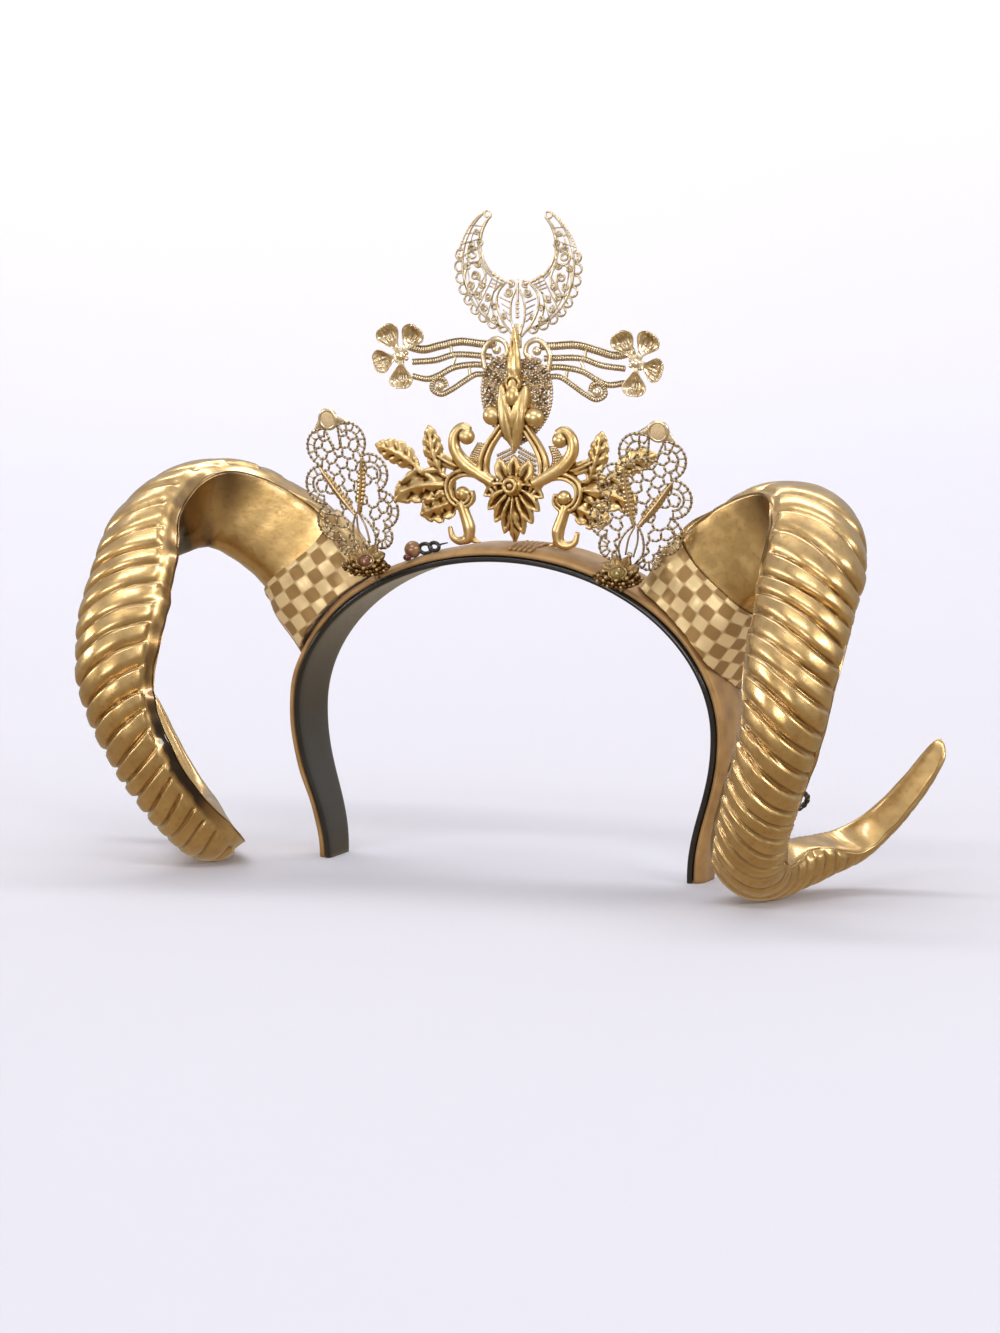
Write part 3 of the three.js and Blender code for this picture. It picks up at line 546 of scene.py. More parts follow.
def leaf(knots, width, height, lobes, notch, back=CASTING_BACK, rise=0.0, flutes=0, trough=0.0):
    """A leaf on the plane at back, with lobed edges and a midrib, lengthwise flutes or a trough."""
    middle = curve(knots, LEAF_ROWS) if len(knots) > 2 else resampled(knots, LEAF_ROWS)
    s = np.linspace(0.0, 1.0, LEAF_ROWS)[:, None]
    v = np.linspace(-1, 1, 2 * LEAF_HALF_COLUMNS + 1)[None, :]
    spread = np.sin(math.pi * np.clip(s, 0.02, 0.985) ** 0.75) ** 0.7
    saw = (lobes * s + 0.25) % 1.0
    spread = spread * (1 - notch * smooth(0.45, 1.0, saw) * (1 - saw * 0.3)) * width / 2
    slide = 0.42 * np.abs(v) * run_of(middle)[-1] * (1 - s) * s
    along = unit(np.gradient(middle, axis=0))
    normal = np.stack([-along[:, 1], along[:, 0]], 1)
    flat = middle[:, None] + normal[:, None] * (spread * v)[..., None] + along[:, None] * slide[..., None]
    if flutes:
        relief = 0.3 * np.cos(math.pi * v * flutes) * np.sin(math.pi * np.clip(s + 0.1, 0, 1))
    elif trough:
        relief = 0.3 - trough * np.exp(-((v / 0.42) ** 2)) * np.sin(math.pi * np.clip(s, 0, 1)) ** 0.5
    else:
        relief = 0.35 * np.exp(-((v / 0.2) ** 2))
    relief = relief + 0.2 * np.cos(FULL_TURN * (lobes * s - 0.5 * np.abs(v))) * np.abs(v) * (1 - v**4)
    dome = 0.45 * np.sqrt(np.clip(1 - v**2, 0, 1)) + relief
    lift = height * (0.2 + dome) * (0.35 + 0.65 * np.sin(math.pi * np.clip(0.12 + 0.8 * s, 0, 1)))
    top = np.stack([flat[..., 0], back - rise * s**2 - lift, flat[..., 1]], -1)
    under = np.stack([flat[..., 0], back - rise * s**2 + 0 * lift, flat[..., 1]], -1)[:, ::-1]
    points = np.concatenate([top, under[:, 1:-1]], 1)
    return points, capped(LEAF_ROWS, points.shape[1])


# Materials

def light_of(value):
    """A screen colour of three parts from 0 to 255, or one plain number for all three, as light."""
    if not isinstance(value, tuple):
        return (value, value, value, 1.0)
    shares = [part / 255.0 for part in value]
    return tuple(c / 12.92 if c <= 0.04045 else ((c + 0.055) / 1.055) ** 2.4 for c in shares) + (1.0,)


def set_stops(ramp, stops):
    elements = ramp.color_ramp.elements
    while len(elements) < len(stops):
        elements.new(0.5)
    for element, (place, colour) in zip(elements, stops):
        element.position = place
        element.color = colour


class Finish:
    """A material whose colour, roughness and relief come from procedural patterns."""

    def __init__(self, name, sockets):
        self.material = bpy.data.materials.new(name)
        self.material.use_nodes = True
        self.tree = self.material.node_tree
        self.shader = self.tree.nodes["Principled BSDF"]
        for socket, value in sockets.items():
            self.shader.inputs[socket].default_value = value
        self.place = self.node("ShaderNodeTexCoord").outputs["Object"]

    def node(self, kind, settings=None, inputs=None):
        made = self.tree.nodes.new(kind)
        for key, value in (settings or {}).items():
            setattr(made, key, value)
        for key, value in (inputs or {}).items():
            self.feed(made.inputs[key], value)
        return made

    def feed(self, socket, value):
        if isinstance(value, bpy.types.NodeSocket):
            self.tree.links.new(value, socket)
        else:
            socket.default_value = value

    def noise(self, size, detail=2.0, stretch=(1, 1, 1)):
        """Noise with features of about that size in millimetres."""
        scale = self.node("ShaderNodeMapping", inputs={"Vector": self.place, "Scale": stretch})
        found = self.node("ShaderNodeTexNoise", inputs={
            "Vector": scale.outputs["Vector"], "Scale": 1000.0 / size, "Detail": detail})
        return found.outputs["Fac"]

    def axis(self, name):
        return self.node("ShaderNodeSeparateXYZ", inputs={"Vector": self.place}).outputs[name]

    def value(self, name):
        return self.node("ShaderNodeAttribute", {"attribute_name": name}).outputs["Fac"]

    def ramp(self, factor, *stops):
        made = self.node("ShaderNodeValToRGB", inputs={"Fac": factor})
        set_stops(made, [(place, light_of(value)) for place, value in stops])
        return made.outputs["Color"]

    def patches(self, size, detail, low, high, start=0.3, end=0.7):
        """Two colours or numbers that blend into each other in patches of about that size."""
        return self.ramp(self.noise(size, detail), (start, low), (end, high))

    def mixed(self, factor, first, second):
        """The first colour where the factor is 0, the second where it is 1."""
        made = self.node("ShaderNodeMix", {"data_type": "RGBA"})
        for index, value in ((0, factor), (6, first), (7, second)):
            self.feed(made.inputs[index], light_of(value) if isinstance(value, tuple) else value)
        return made.outputs[2]

    def maths(self, operation, first, second=0.0):
        made = self.node("ShaderNodeMath", {"operation": operation})
        self.feed(made.inputs[0], first)
        self.feed(made.inputs[1], second)
        return made.outputs[0]

    def relief(self, height, distance, strength):
        bump = self.node("ShaderNodeBump", inputs={
            "Height": height, "Distance": distance * MILLIMETRE, "Strength": strength})
        self.feed(self.shader.inputs["Normal"], bump.outputs["Normal"])

    def colour(self, value):
        self.feed(self.shader.inputs["Base Color"], value)

    def roughness(self, value):
        self.feed(self.shader.inputs["Roughness"], value)


def horn_gold():
    paint = Finish("horn_gold", {"Metallic": 1.0, "Coat Weight": 1.0, "Coat Roughness": 0.08})
    tone = paint.patches(9, 4, (199, 163, 104), (221, 188, 129))
    worn = paint.mixed(paint.patches(2.2, 3, 0.0, 0.5, 0.52, 0.75), tone, (180, 132, 68))
    # The value groove carries painted shade: brown in the grooves between the rolls and on the smooth half
    # where it enters the curl, and near black where it is deepest, as in the painted shadow along the left
    # horn's margin
    with_painted_shade = paint.mixed(paint.ramp(paint.value("groove"), (0.25, 0.0), (0.95, 0.85)), worn, (92, 58, 22))
    painted_shadow = paint.ramp(paint.value("groove"), (0.9, 0.0), (1.0, 0.92))
    paint.colour(paint.mixed(painted_shadow, with_painted_shade, (34, 23, 12)))
    paint.roughness(paint.patches(4, 3, 0.28, 0.42, 0.3, 0.75))
    paint.relief(paint.noise(2.6, 3), 0.12, 0.55)
    return paint.material


def cast_gold():
    metal = Finish("cast_gold", {"Metallic": 1.0})
    tone = metal.patches(5, 3, (212, 178, 118), (236, 210, 158))
    # The value hollow darkens the metal to brown deep in the creases of the casting, patina and painted
    # shade; on the rosettes it sets the tone of each part
    dark = metal.ramp(metal.value("hollow"), (0.05, 0.0), (0.62, 0.97))
    metal.colour(metal.mixed(dark, tone, (84, 50, 16)))
    metal.roughness(metal.patches(1.2, 2, 0.3, 0.42))
    metal.relief(metal.noise(0.9, 2), 0.05, 0.5)
    return metal.material


def pale_gold():
    metal = Finish("pale_gold", {"Metallic": 1.0})
    tone = metal.patches(4, 2, (228, 207, 168), (249, 236, 210))
    warmed = metal.mixed(metal.value("warm"), tone, (206, 162, 86))
    # The value shade mixes in dark brown: a darker tone on some wires, painted shade between ribs, inside the
    # petal cups and on curls set further back, and painted shadows in the dark dots between the beads of the
    # wings
    metal.colour(metal.mixed(metal.value("shade"), warmed, (106, 80, 46)))
    metal.roughness(metal.patches(1.5, 2, 0.24, 0.36))
    return metal.material


def satin():
    cloth = Finish("satin", {
        "Metallic": 0.35, "Sheen Weight": 0.25, "Sheen Roughness": 0.4, "Specular IOR Level": 0.6})
    cloth.colour(cloth.patches(7, 4, (150, 112, 64), (188, 148, 94), 0.25, 0.75))
    cloth.roughness(cloth.patches(3, 2, 0.42, 0.55))
    cloth.relief(cloth.noise(1.4, 4, (0.4, 1.0, 1.0)), 0.12, 0.6)
    return cloth.material


def brocade():
    """Checks of the weave, painted light and dark where their contrast is really sheen, that fade into plain
    cloth on the side towards the middle of the band, a painted change of sheen.
    """
    cloth = Finish("brocade", {"Metallic": 0.3, "Sheen Weight": 0.2, "Sheen Roughness": 0.4})
    waves = [cloth.maths("SINE", cloth.maths("MULTIPLY", cloth.value(name), math.pi / CHECK_SIZE))
             for name in ("cloth_around", "cloth_along")]
    squares = cloth.maths("MULTIPLY", cloth.maths("MULTIPLY", *waves), 2.2)
    check = cloth.ramp(cloth.maths("ADD", squares, 0.5), (0.2, 0.0), (0.8, 1.0))
    # Painted sheen: the contrast of the checks fades out towards the middle of the band
    outward = cloth.maths("MULTIPLY", cloth.maths("ABSOLUTE", cloth.axis("X")), 12.0)
    outward = cloth.maths("ADD", outward, cloth.maths("MULTIPLY", cloth.noise(12, 2), 0.5))
    sheen_fade = cloth.ramp(outward, (0.9, 0.12), (1.0, 1.0))
    plain = cloth.patches(5, 3, (208, 175, 118), (230, 200, 144))
    light = cloth.mixed(sheen_fade, plain, (232, 204, 150))
    dark = cloth.mixed(sheen_fade, plain, (156, 120, 68))
    cloth.colour(cloth.mixed(check, dark, light))
    cloth.roughness(cloth.ramp(check, (0.0, 0.55), (1.0, 0.36)))
    cloth.relief(cloth.maths("ADD", cloth.maths("MULTIPLY", cloth.noise(0.5, 2), 0.5), check), 0.12, 0.5)
    return cloth.material


def plain_finish(name, sockets, tone, gloss):
    """Patches of two colours and of two degrees of roughness: size, detail, first, second."""
    made = Finish(name, sockets)
    made.colour(made.patches(*tone))
    made.roughness(made.patches(*gloss))
    return made.material


def black_plastic():
    sockets = {"Coat Weight": 0.4, "Coat Roughness": 0.08}
    return plain_finish("black_plastic", sockets, (8, 2, (18, 16, 16), (30, 27, 26)), (3, 2, 0.16, 0.26))


def pearl():
    sockets = {"Metallic": 0.35, "Coat Weight": 0.6, "Coat Roughness": 0.1}
    return plain_finish("pearl", sockets, (3, 2, (138, 98, 66), (168, 128, 92)), (1, 2, 0.25, 0.35))


def red_bead():
    sockets = {"Coat Weight": 0.7, "Coat Roughness": 0.06}
    return plain_finish("red_bead", sockets, (1, 2, (66, 14, 10), (104, 30, 20)), (1, 1, 0.15, 0.25))


def cut_glass(name, dark, light):
    sockets = {"Coat Weight": 0.8, "Coat Roughness": 0.04, "Metallic": 0.2}
    return plain_finish(name, sockets, (1.6, 2, dark, light), (1, 1, 0.1, 0.2))


def yellow_stone():
    return cut_glass("yellow_stone", (104, 84, 30), (158, 134, 66))


def brown_stone():
    return cut_glass("brown_stone", (84, 44, 24), (128, 78, 44))


def tan_pad():
    tone = (1, 3, (188, 160, 116), (208, 182, 138))
    return plain_finish("tan_pad", {"Sheen Weight": 0.2}, tone, (1, 1, 0.55, 0.7))


METALS_AND_CLOTHS = (horn_gold, cast_gold, pale_gold, satin, brocade)
PLAIN_FINISHES = (black_plastic, pearl, red_bead, yellow_stone, brown_stone, tan_pad)
MATERIALS = {make.__name__: make() for make in METALS_AND_CLOTHS + PLAIN_FINISHES}


# Pieces

def finished(name, shape, slot, replaced=(), mirror=1, material=None, sharp=False):
    """A mesh piece in the frame of the solids, from a shape in millimetres."""
    points = (shape.points() * (mirror, 1, 1) + (0, BAND_Y, 0)) * MILLIMETRE
    mesh = bpy.data.meshes.new(name)
    mesh.from_pydata(points.tolist(), [], shape.faces)
    for value_name in shape.names():
        layer = mesh.attributes.new(value_name, "FLOAT", "POINT")
        layer.data.foreach_set("value", np.asarray(shape.value(value_name), np.float32))
    work = bmesh.new()
    work.from_mesh(mesh)
    bmesh.ops.recalc_face_normals(work, faces=work.faces)
    work.to_mesh(mesh)
    work.free()
    mesh.polygons.foreach_set("use_smooth", [not sharp] * len(mesh.polygons))
    mesh.materials.append(MATERIALS[material or slot])
    piece = bpy.data.objects.new(name, mesh)
    bpy.context.scene.collection.objects.link(piece)
    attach(piece, "root")
    if replaced:
        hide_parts(*replaced)
    return piece


def fused(piece, voxel):
    """Melts the overlapping skins of a piece into one cast surface, with its hollows marked for patina and
    painted shade.
    """
    remesh = piece.modifiers.new("melt", "REMESH")
    remesh.mode = "VOXEL"
    remesh.voxel_size = voxel * MILLIMETRE
    remesh.use_smooth_shade = True
    soften = piece.modifiers.new("soften", "SMOOTH")
    soften.iterations = 2
    soften.factor = 0.5
    bpy.context.view_layer.update()
    mesh = bpy.data.meshes.new_from_object(piece.evaluated_get(bpy.context.evaluated_depsgraph_get()))
    mesh.name = piece.name
    materials = list(piece.data.materials)
    piece.modifiers.clear()
    piece.data = mesh
    mesh.materials.clear()
    for material in materials:
        mesh.materials.append(material)
    mark_hollows(mesh)


def mark_hollows(mesh, rounds=10, depth=0.22):
    """Writes the value hollow: 0 on raised places, 1 deep in a crease."""
    count = len(mesh.vertices)
    points, normals = np.empty(count * 3, np.float32), np.empty(count * 3, np.float32)
    mesh.vertices.foreach_get("co", points)
    mesh.vertices.foreach_get("normal", normals)
    points, normals = points.reshape(-1, 3).astype(float), normals.reshape(-1, 3)
    edges = np.empty(len(mesh.edges) * 2, np.int32)
    mesh.edges.foreach_get("vertices", edges)
    a, b = edges.reshape(-1, 2).T
    share = np.bincount(a, minlength=count) + np.bincount(b, minlength=count)
    blurred = points.copy()
    for _ in range(rounds):
        total = np.zeros_like(points)
        for k in range(3):
            total[:, k] = np.bincount(a, blurred[b, k], count) + np.bincount(b, blurred[a, k], count)
        blurred = total / np.maximum(share, 1)[:, None]
    lift = ((blurred - points) * normals).sum(1) / (depth * MILLIMETRE)
    layer = mesh.attributes.new("hollow", "FLOAT", "POINT")
    layer.data.foreach_set("value", np.clip(lift, -1, 1).astype(np.float32))


# Hair band

def band_line(count):
    """Points of the band's outer plastic face from the right end over the top to the left, and normals."""
    t = np.linspace(0, 1, 200)[:, None]
    low, high = BAND_LEG_HANDLES
    handles = np.array([(BAND_END_HALF_WIDTH, 0), (BAND_END_HALF_WIDTH, low), (BAND_HALF_WIDTH, high),
                        (BAND_HALF_WIDTH, BAND_SHOULDER)], float)
    leg = np.hstack([(1 - t) ** 3, 3 * (1 - t) ** 2 * t, 3 * (1 - t) * t**2, t**3]) @ handles
    turn = np.linspace(0, math.pi, 600)[1:-1]
    rise = (BAND_TOP - BAND_SHOULDER) * np.sin(turn)
    arch = np.stack([BAND_HALF_WIDTH * np.cos(turn), BAND_SHOULDER + rise], 1)
    line = resampled(np.vstack([leg, arch, leg[::-1] * (-1, 1)]), count)
    ahead = unit(np.gradient(line, axis=0))
    return line, np.stack([ahead[:, 1], -ahead[:, 0]], 1)


def band_width(z):
    share = np.sin(math.pi / 2 * np.minimum(1, z / BAND_TOP))
    return BAND_WIDTH_END + (BAND_WIDTH_TOP - BAND_WIDTH_END) * share


def band_strip(section, count, unevenness=0.0):
    """The band's line swept with a section of share of half width, extra width and height."""
    line, normal = band_line(count)
    share, extra, out = section.T[:, None, :]
    across = share * (band_width(line[:, 1])[:, None] / 2 + extra)
    run = np.linspace(0, 1, count)[:, None]
    height = out + unevenness * lumps(run * 60, across * 0.35, seed=3) * (np.abs(share) < 1)
    x = line[:, :1] + normal[:, :1] * height
    z = line[:, 1:] + normal[:, 1:] * height
    return np.stack([x, across + 0 * x, np.maximum(z, 0)], -1), capped(count, len(section))


def cover_section():
    share = np.linspace(-1, 1, 19)
    top = np.stack([share, 0 * share, COVER_THICKNESS * (1 - np.abs(share) ** 5 * 0.55)], 1)
    under = np.stack([share[::-1], 0 * share, 0 * share + COVER_GAP], 1)
    return np.vstack([under[-1:], top, under[:-1]])


def core_section():
    turn = np.linspace(0, FULL_TURN, 40, endpoint=False)
    wave = np.stack([np.cos(turn), np.sin(turn)])
    share, height = np.sign(wave) * np.abs(wave) ** 0.3
    half = CORE_THICKNESS / 2
    out = (half - CORE_GAP) * height - half - CORE_GAP
    return np.stack([share, CORE_EXTRA_WIDTH * np.abs(share), out], 1)


cover = finished("satin_cover", Shape().add(band_strip(cover_section(), 260, COVER_BUMPS)), "satin",
                 ["band_cover"])
finished("plastic_core", Shape().add(band_strip(core_section(), 220)), "black_plastic", ["band_core"])


# Horns

def horn_table():
    """Distances along the centre line, and there its point, outward and sideways directions and radius."""
    t = np.linspace(0, 1, 4001)
    line = spline(HORN_STATIONS[:, :3], t)
    sizes = spline(HORN_STATIONS[:, 3:], t)
    along = unit(np.gradient(line, axis=0))
    out = np.stack([sizes[:, 1], line[:, 1] - COIL_CENTRE[0], line[:, 2] - COIL_CENTRE[1]], 1)
    out = unit(out - along * (out * along).sum(1)[:, None])
    return run_of(line), np.hstack([line, out, np.cross(out, along), sizes[:, :1]])


HORN_RUN, HORN_TABLE = horn_table()
HORN_LENGTH = HORN_RUN[-1]


def horn_at(u):
    """Centre, outward and sideways direction and radius at fractions of the horn's length."""
    found = read_off(HORN_TABLE, HORN_RUN, np.clip(u, 0, 1) * HORN_LENGTH)
    return found[..., :3], found[..., 3:6], found[..., 6:9], found[..., 9]


def radius_at(u):
    return np.interp(np.clip(u, 0, 1) * HORN_LENGTH, HORN_RUN, HORN_TABLE[:, 9])


def horn_points(u, out, side):
    """Places round the horn's centre line; the sections lean, so that the ridges run aslant."""
    turn = HORN_TWIST * hump(*TWIST_SPAN, u)
    size = 1 - HORN_WAIST * hump(*WAIST_SPAN, u)
    turned_out = size * (out * np.cos(turn) - side * np.sin(turn))
    turned_side = size * (side * np.cos(turn) + out * np.sin(turn))
    leaning = u + RIDGE_SLANT * hump(*SLANT_SPAN, u) * turned_side / HORN_LENGTH
    centre, outward, sideways, radius = horn_at(leaning)
    scale = radius / radius_at(u)
    return centre + (turned_out * scale)[..., None] * outward + (turned_side * scale)[..., None] * sideways


def above_band(points, clearance):
    """How far points stand outside the band's outer face, as a share of its size."""
    reach = COVER_THICKNESS + clearance
    wide = points[..., 0] / (BAND_HALF_WIDTH + reach)
    high = (points[..., 2] - BAND_SHOULDER) / (BAND_TOP - BAND_SHOULDER + reach)
    return np.hypot(wide, high) - 1


def foot_of(arc, radius_add, clearance):
    """For each point of a section, the fraction of the horn's length where it leaves the band."""
    u = np.linspace(0, FOOT_REACH, 301)
    radius = radius_at(u)[:, None] + radius_add
    grid = horn_points(u[:, None] + 0 * radius * arc[:, 0], radius * arc[:, 0], radius * arc[:, 1])
    inside_band = above_band(grid, clearance) < 0
    return np.array([u[np.nonzero(column)[0][-1] + 1] if column.any() else 0.0 for column in inside_band.T])


SHELL_TABLE = spline(SHELL_ARC, np.linspace(0, 1, 400))
SHELL_RUN = run_of(SHELL_TABLE[:, :2])


def shell_arc(share):
    """Out, side and share of the groove depth along the ridged arc of a section of radius 1."""
    return read_off(SHELL_TABLE, SHELL_RUN, share * SHELL_RUN[-1])


def lateral_end(u):
    """How much of the ridged arc is left: near the tip the smooth half comes round to the side."""
    return 1 - 0.42 * smooth(0.74, 0.86, u)


def panel_arc(u, t):
    """Out and side of the smooth half from its medial to its lateral edge, rounded at its crease."""
    lateral = shell_arc(lateral_end(u))[..., :2]
    first, last = CREASE_SIDE
    crease = np.stack([CREASE_OUT + 0 * u, first + (last - first) * smooth(0.14, 0.46, u)], -1)
    bend = 2 * t - 1
    near = 1 - np.sqrt((bend**2 + CREASE_ROUNDING**2) / (1 + CREASE_ROUNDING**2))
    far = (1 - near + bend) / 2
    medial = (1 - near - far)[..., None] * SHELL_ARC[0, :2]
    return medial + near[..., None] * crease + far[..., None] * lateral


def ridge_rows():
    foot = np.linspace(0, RIDGE_START, 36, endpoint=False)
    ridged = np.linspace(RIDGE_START, RIDGE_END, ROWS_PER_RIDGE * RIDGES, endpoint=False)
    return np.concatenate([foot, ridged, np.linspace(RIDGE_END, 1, 40)])


def from_foot(rows, foot):
    """Fractions of each column: they start at its own foot and join the common rows further on."""
    blend = np.clip(1 - rows / FOOT_BLEND, 0, 1)
    return rows[:, None] + foot[None, :] * blend[:, None]


def rounded_tip(u):
    past = np.maximum(u - TIP_START, 0) / TIP_LENGTH
    return np.sqrt(np.clip(1 - past**2, 0.0004, 1))


def two_faced(u, arc, outer_radius, inner_radius, shade):
    """A shell with thickness from the radius of its two faces, closed along its edges, and its shade."""
    outer, inner = (horn_points(u, r * arc[..., 0], r * arc[..., 1]) for r in (outer_radius, inner_radius))
    rows, columns = u.shape
    j = np.arange(columns - 1)
    strip = np.stack([j, j + 1, 2 * columns - 2 - j, 2 * columns - 1 - j], 1)
    faces = [quads(rows, 2 * columns), strip[:, ::-1], strip + (rows - 1) * 2 * columns]
    skin = np.concatenate([outer, inner[:, ::-1]], 1), faces
    return skin, np.concatenate([shade, 0 * shade], 1).ravel()


def shell_skin(margin_width, painted_shade):
    """The ridged half: rolls with narrow grooves that end at a lumpy medial margin, and its shade."""
    place = np.linspace(0, 1, SHELL_COLUMNS)
    u = from_foot(ridge_rows(), foot_of(shell_arc(place)[:, :2], 0, HORN_GAP))
    radius = radius_at(u) * rounded_tip(u)
    full_depth = RIDGE_DEPTH * radius / RIDGE_RADIUS
    share = lateral_end(u) * place
    arc = shell_arc(share)
    medial = share * SHELL_RUN[-1] * radius
    lateral = (lateral_end(u) - share) * SHELL_RUN[-1] * radius

    # Rolls, close together near the tip and uneven as if shaped by hand
    run = (u - RIDGE_START) / (RIDGE_END - RIDGE_START)
    phase = RIDGES * ((1 - RIDGE_CLOSING) * run + RIDGE_CLOSING * run**2)
    phase = phase + 0.17 * lumps(phase * 0.8, share * 5, seed=11)
    in_roll = phase % 1.0
    roll = 1 - np.abs(2 * in_roll**ROLL_SKEW - 1) ** ROLL_SQUARENESS
    begun = smooth(RIDGE_START - 0.03, RIDGE_START + 0.05, u)
    fading = 1 - 0.85 * smooth(0.79, 0.87, u)
    depth = full_depth * begun * fading * (1 - smooth(0.95, 1, u))
    depth = depth * (0.95 + 0.32 * lumps(phase * 0.5, share * 2.5, seed=12))

    # Margin, lip of each roll, ragged paint and dents
    wavy = 0.5 * lumps(u * 150, seed=13)
    margin = smooth(margin_width + wavy, margin_width + 1.2 + wavy, medial) * smooth(0.6, 3.2, lateral)
    groove = margin * (1 - roll) * arc[..., 2] + (1 - margin) * MARGIN_LEVEL
    lip = 0.3 * np.exp(-((in_roll - 0.12) / 0.06) ** 2) * margin * begun * fading
    ragged = 0.4 * lumps(u * 110, medial * 0.5, seed=5) * (1 - margin) * begun
    dents = 0.55 * lumps(u * 32, share * 3, seed=8) * (1 - begun) * smooth(0, 0.1, u)
    dents = dents + 0.32 * lumps(u * 90, share * 6, seed=9)
    reach = radius - depth * groove + (lip + ragged + dents) * np.minimum(1, radius / 15)
    inward = radius - np.minimum(2.2 + 0.7 * full_depth, 0.5 * radius)

    # Painted shade: brown in the grooves and, on the side that has it, a painted shadow along the margin
    dark = 0.88 * np.clip((1 - roll) ** 1.5 * begun * margin * fading, 0, 1)
    edge = 1 - smooth(0.55 * margin_width, 1.05 * margin_width, medial + wavy)
    low_end = 0.8 + 0.2 * smooth(0.48, 0.58, u)
    dark = np.maximum(dark, painted_shade * edge * low_end * hump(*MARGIN_SHADOW_SPAN, u))
    return two_faced(u, arc, reach, inward, dark)


def panel_skin():
    """The smooth inner half of the horn, with soft dents, and its painted shade, deepest where it enters the
    curl.
    """
    place = np.linspace(0, 1, PANEL_COLUMNS)
    u = from_foot(np.linspace(0, 1, PANEL_ROWS), foot_of(panel_arc(0 * place, place), 0, HORN_GAP))
    t = place + 0 * u
    radius = radius_at(u) * rounded_tip(u)
    edge = np.minimum(t, 1 - t)
    tuck = 0.5 * (1 - smooth(0.0, 0.05, edge))
    dents = 0.6 * lumps(u * 30, t * 4, seed=21) + 0.14 * lumps(u * 120, t * 9, seed=22)
    facets = 0.5 * lumps(u * 90, t * 5, seed=24) * smooth(0.78, 0.84, u)
    wrinkle = 0.3 * np.sin(u * 800 + 4 * t) * hump(*WRINKLE_SPAN, u) * smooth(0.1, 0.4, edge)
    reach = radius * 0.985 - tuck + (dents + facets + wrinkle) * np.minimum(1, radius / 12)
    inward = radius - np.minimum(2.6, 0.4 * radius)
    # Painted shade on the smooth half, deepest where it enters the curl and on its medial part
    painted_shade = hump(*PANEL_SHADE_SPAN, u) * smooth(0.95, 0.5, t)
    painted_shade = painted_shade * np.clip(0.75 + 0.3 * lumps(u * 60, t * 5, seed=25), 0, 1)
    return two_faced(u, panel_arc(u, t), reach, inward, painted_shade)


def cuff_ring(count):
    """The whole section of the horn's foot for a radius of 1, and its outward direction."""
    share = np.linspace(0, 1, 120)
    panel_part = panel_arc(0 * share, share[::-1])
    whole = resampled(np.vstack([shell_arc(share)[:, :2], panel_part[1:-1]]), count, True)
    for _ in range(4):
        whole = (np.roll(whole, 1, 0) + 2 * whole + np.roll(whole, -1, 0)) / 4
    ahead = unit(np.roll(whole, -1, 0) - np.roll(whole, 1, 0))
    outward = np.stack([ahead[:, 1], -ahead[:, 0]], 1)
    return whole, outward * np.sign((outward * whole).sum())


def cuff_skin():
    """Brocade drawn tight round the foot of the horn, hemmed at its top and turned in over the band."""
    whole, outward = cuff_ring(CUFF_COLUMNS)
    foot = foot_of(whole, CUFF_LIFT, CUFF_GAP)
    rows = np.linspace(0, 1, CUFF_ROWS)[:, None]
    turn = np.linspace(0, FULL_TURN, CUFF_COLUMNS, endpoint=False)
    top = WRAP_LENGTH / HORN_LENGTH + 0.008 * np.sin(turn + 1.0) + 0.004 * np.sin(3 * turn)
    top = np.maximum(top, foot + 0.02)
    u = foot + (top - foot) * rows
    run = u * HORN_LENGTH
    girth = run_of(np.vstack([whole, whole[:1]]))[-1] * HORN_STATIONS[0, 3]
    around = turn / FULL_TURN * girth
    folds = 0.45 * lumps(run * 0.2, around * 0.12, seed=31) + 0.3 * lumps(run * 0.12, around * 0.4, seed=33)
    hem = 0.35 * np.exp(-(((top - u) * HORN_LENGTH - 1.4) / 0.9) ** 2)
    lift = CUFF_LIFT + folds * smooth(0, 0.3, 1 - rows) - 0.7 * smooth(0.7, 1, rows)
    lift = np.maximum(lift, 0.7) + hem
    layers = []
    for height in (lift, lift - CUFF_CLOTH):
        place = radius_at(u)[..., None] * whole + height[..., None] * outward
        layers.append(horn_points(u, place[..., 0], place[..., 1]))
    face, lining = layers

    # The strip that is turned in lies on the band, drawn together towards the middle of the horn
    middle = face[0].mean(0)
    turned_in = middle + (face[0] - middle) * np.linspace(0.3, 0.97, CUFF_TURN_IN_ROWS)[:, None, None]
    scale = 1 / (above_band(turned_in, CUFF_GAP) + 1)
    turned_in[..., 0] *= scale
    turned_in[..., 2] = BAND_SHOULDER + (turned_in[..., 2] - BAND_SHOULDER) * scale
    raised_fold = turned_in + 0.6 * unit((turned_in - (0, 0, BAND_SHOULDER)) * (1, 0, 1))
    points = np.concatenate([turned_in, face, lining[::-1], raised_fold[::-1]])
    along = np.concatenate([run[:1] - np.linspace(*CUFF_TURN_IN, CUFF_TURN_IN_ROWS)[:, None], run])
    values = {"cloth_along": np.concatenate([along, along[::-1]]).ravel(),
              "cloth_around": np.broadcast_to(around, points.shape[:2]).ravel()}
    return (points, [quads(len(points), CUFF_COLUMNS, True)]), values


panel, panel_shade = panel_skin()
cuff, cuff_values = cuff_skin()
for side, mirror, margin_width, painted_shade, _ in SIDES:
    shell, shell_shade = shell_skin(margin_width, painted_shade)
    ridged = Shape().add(shell, groove=shell_shade)
    plain = Shape().add(panel, groove=panel_shade)
    wrapped = Shape().add(cuff, **cuff_values)
    finished(f"shell_{side}", ridged, "horn_gold", [f"horn_shell_{side}"], mirror)
    finished(f"panel_{side}", plain, "horn_gold", [f"horn_panel_{side}"], mirror)
    cloth = finished(f"cuff_{side}", wrapped, "brocade", [f"horn_wrap_{side}"], mirror)


# Loop

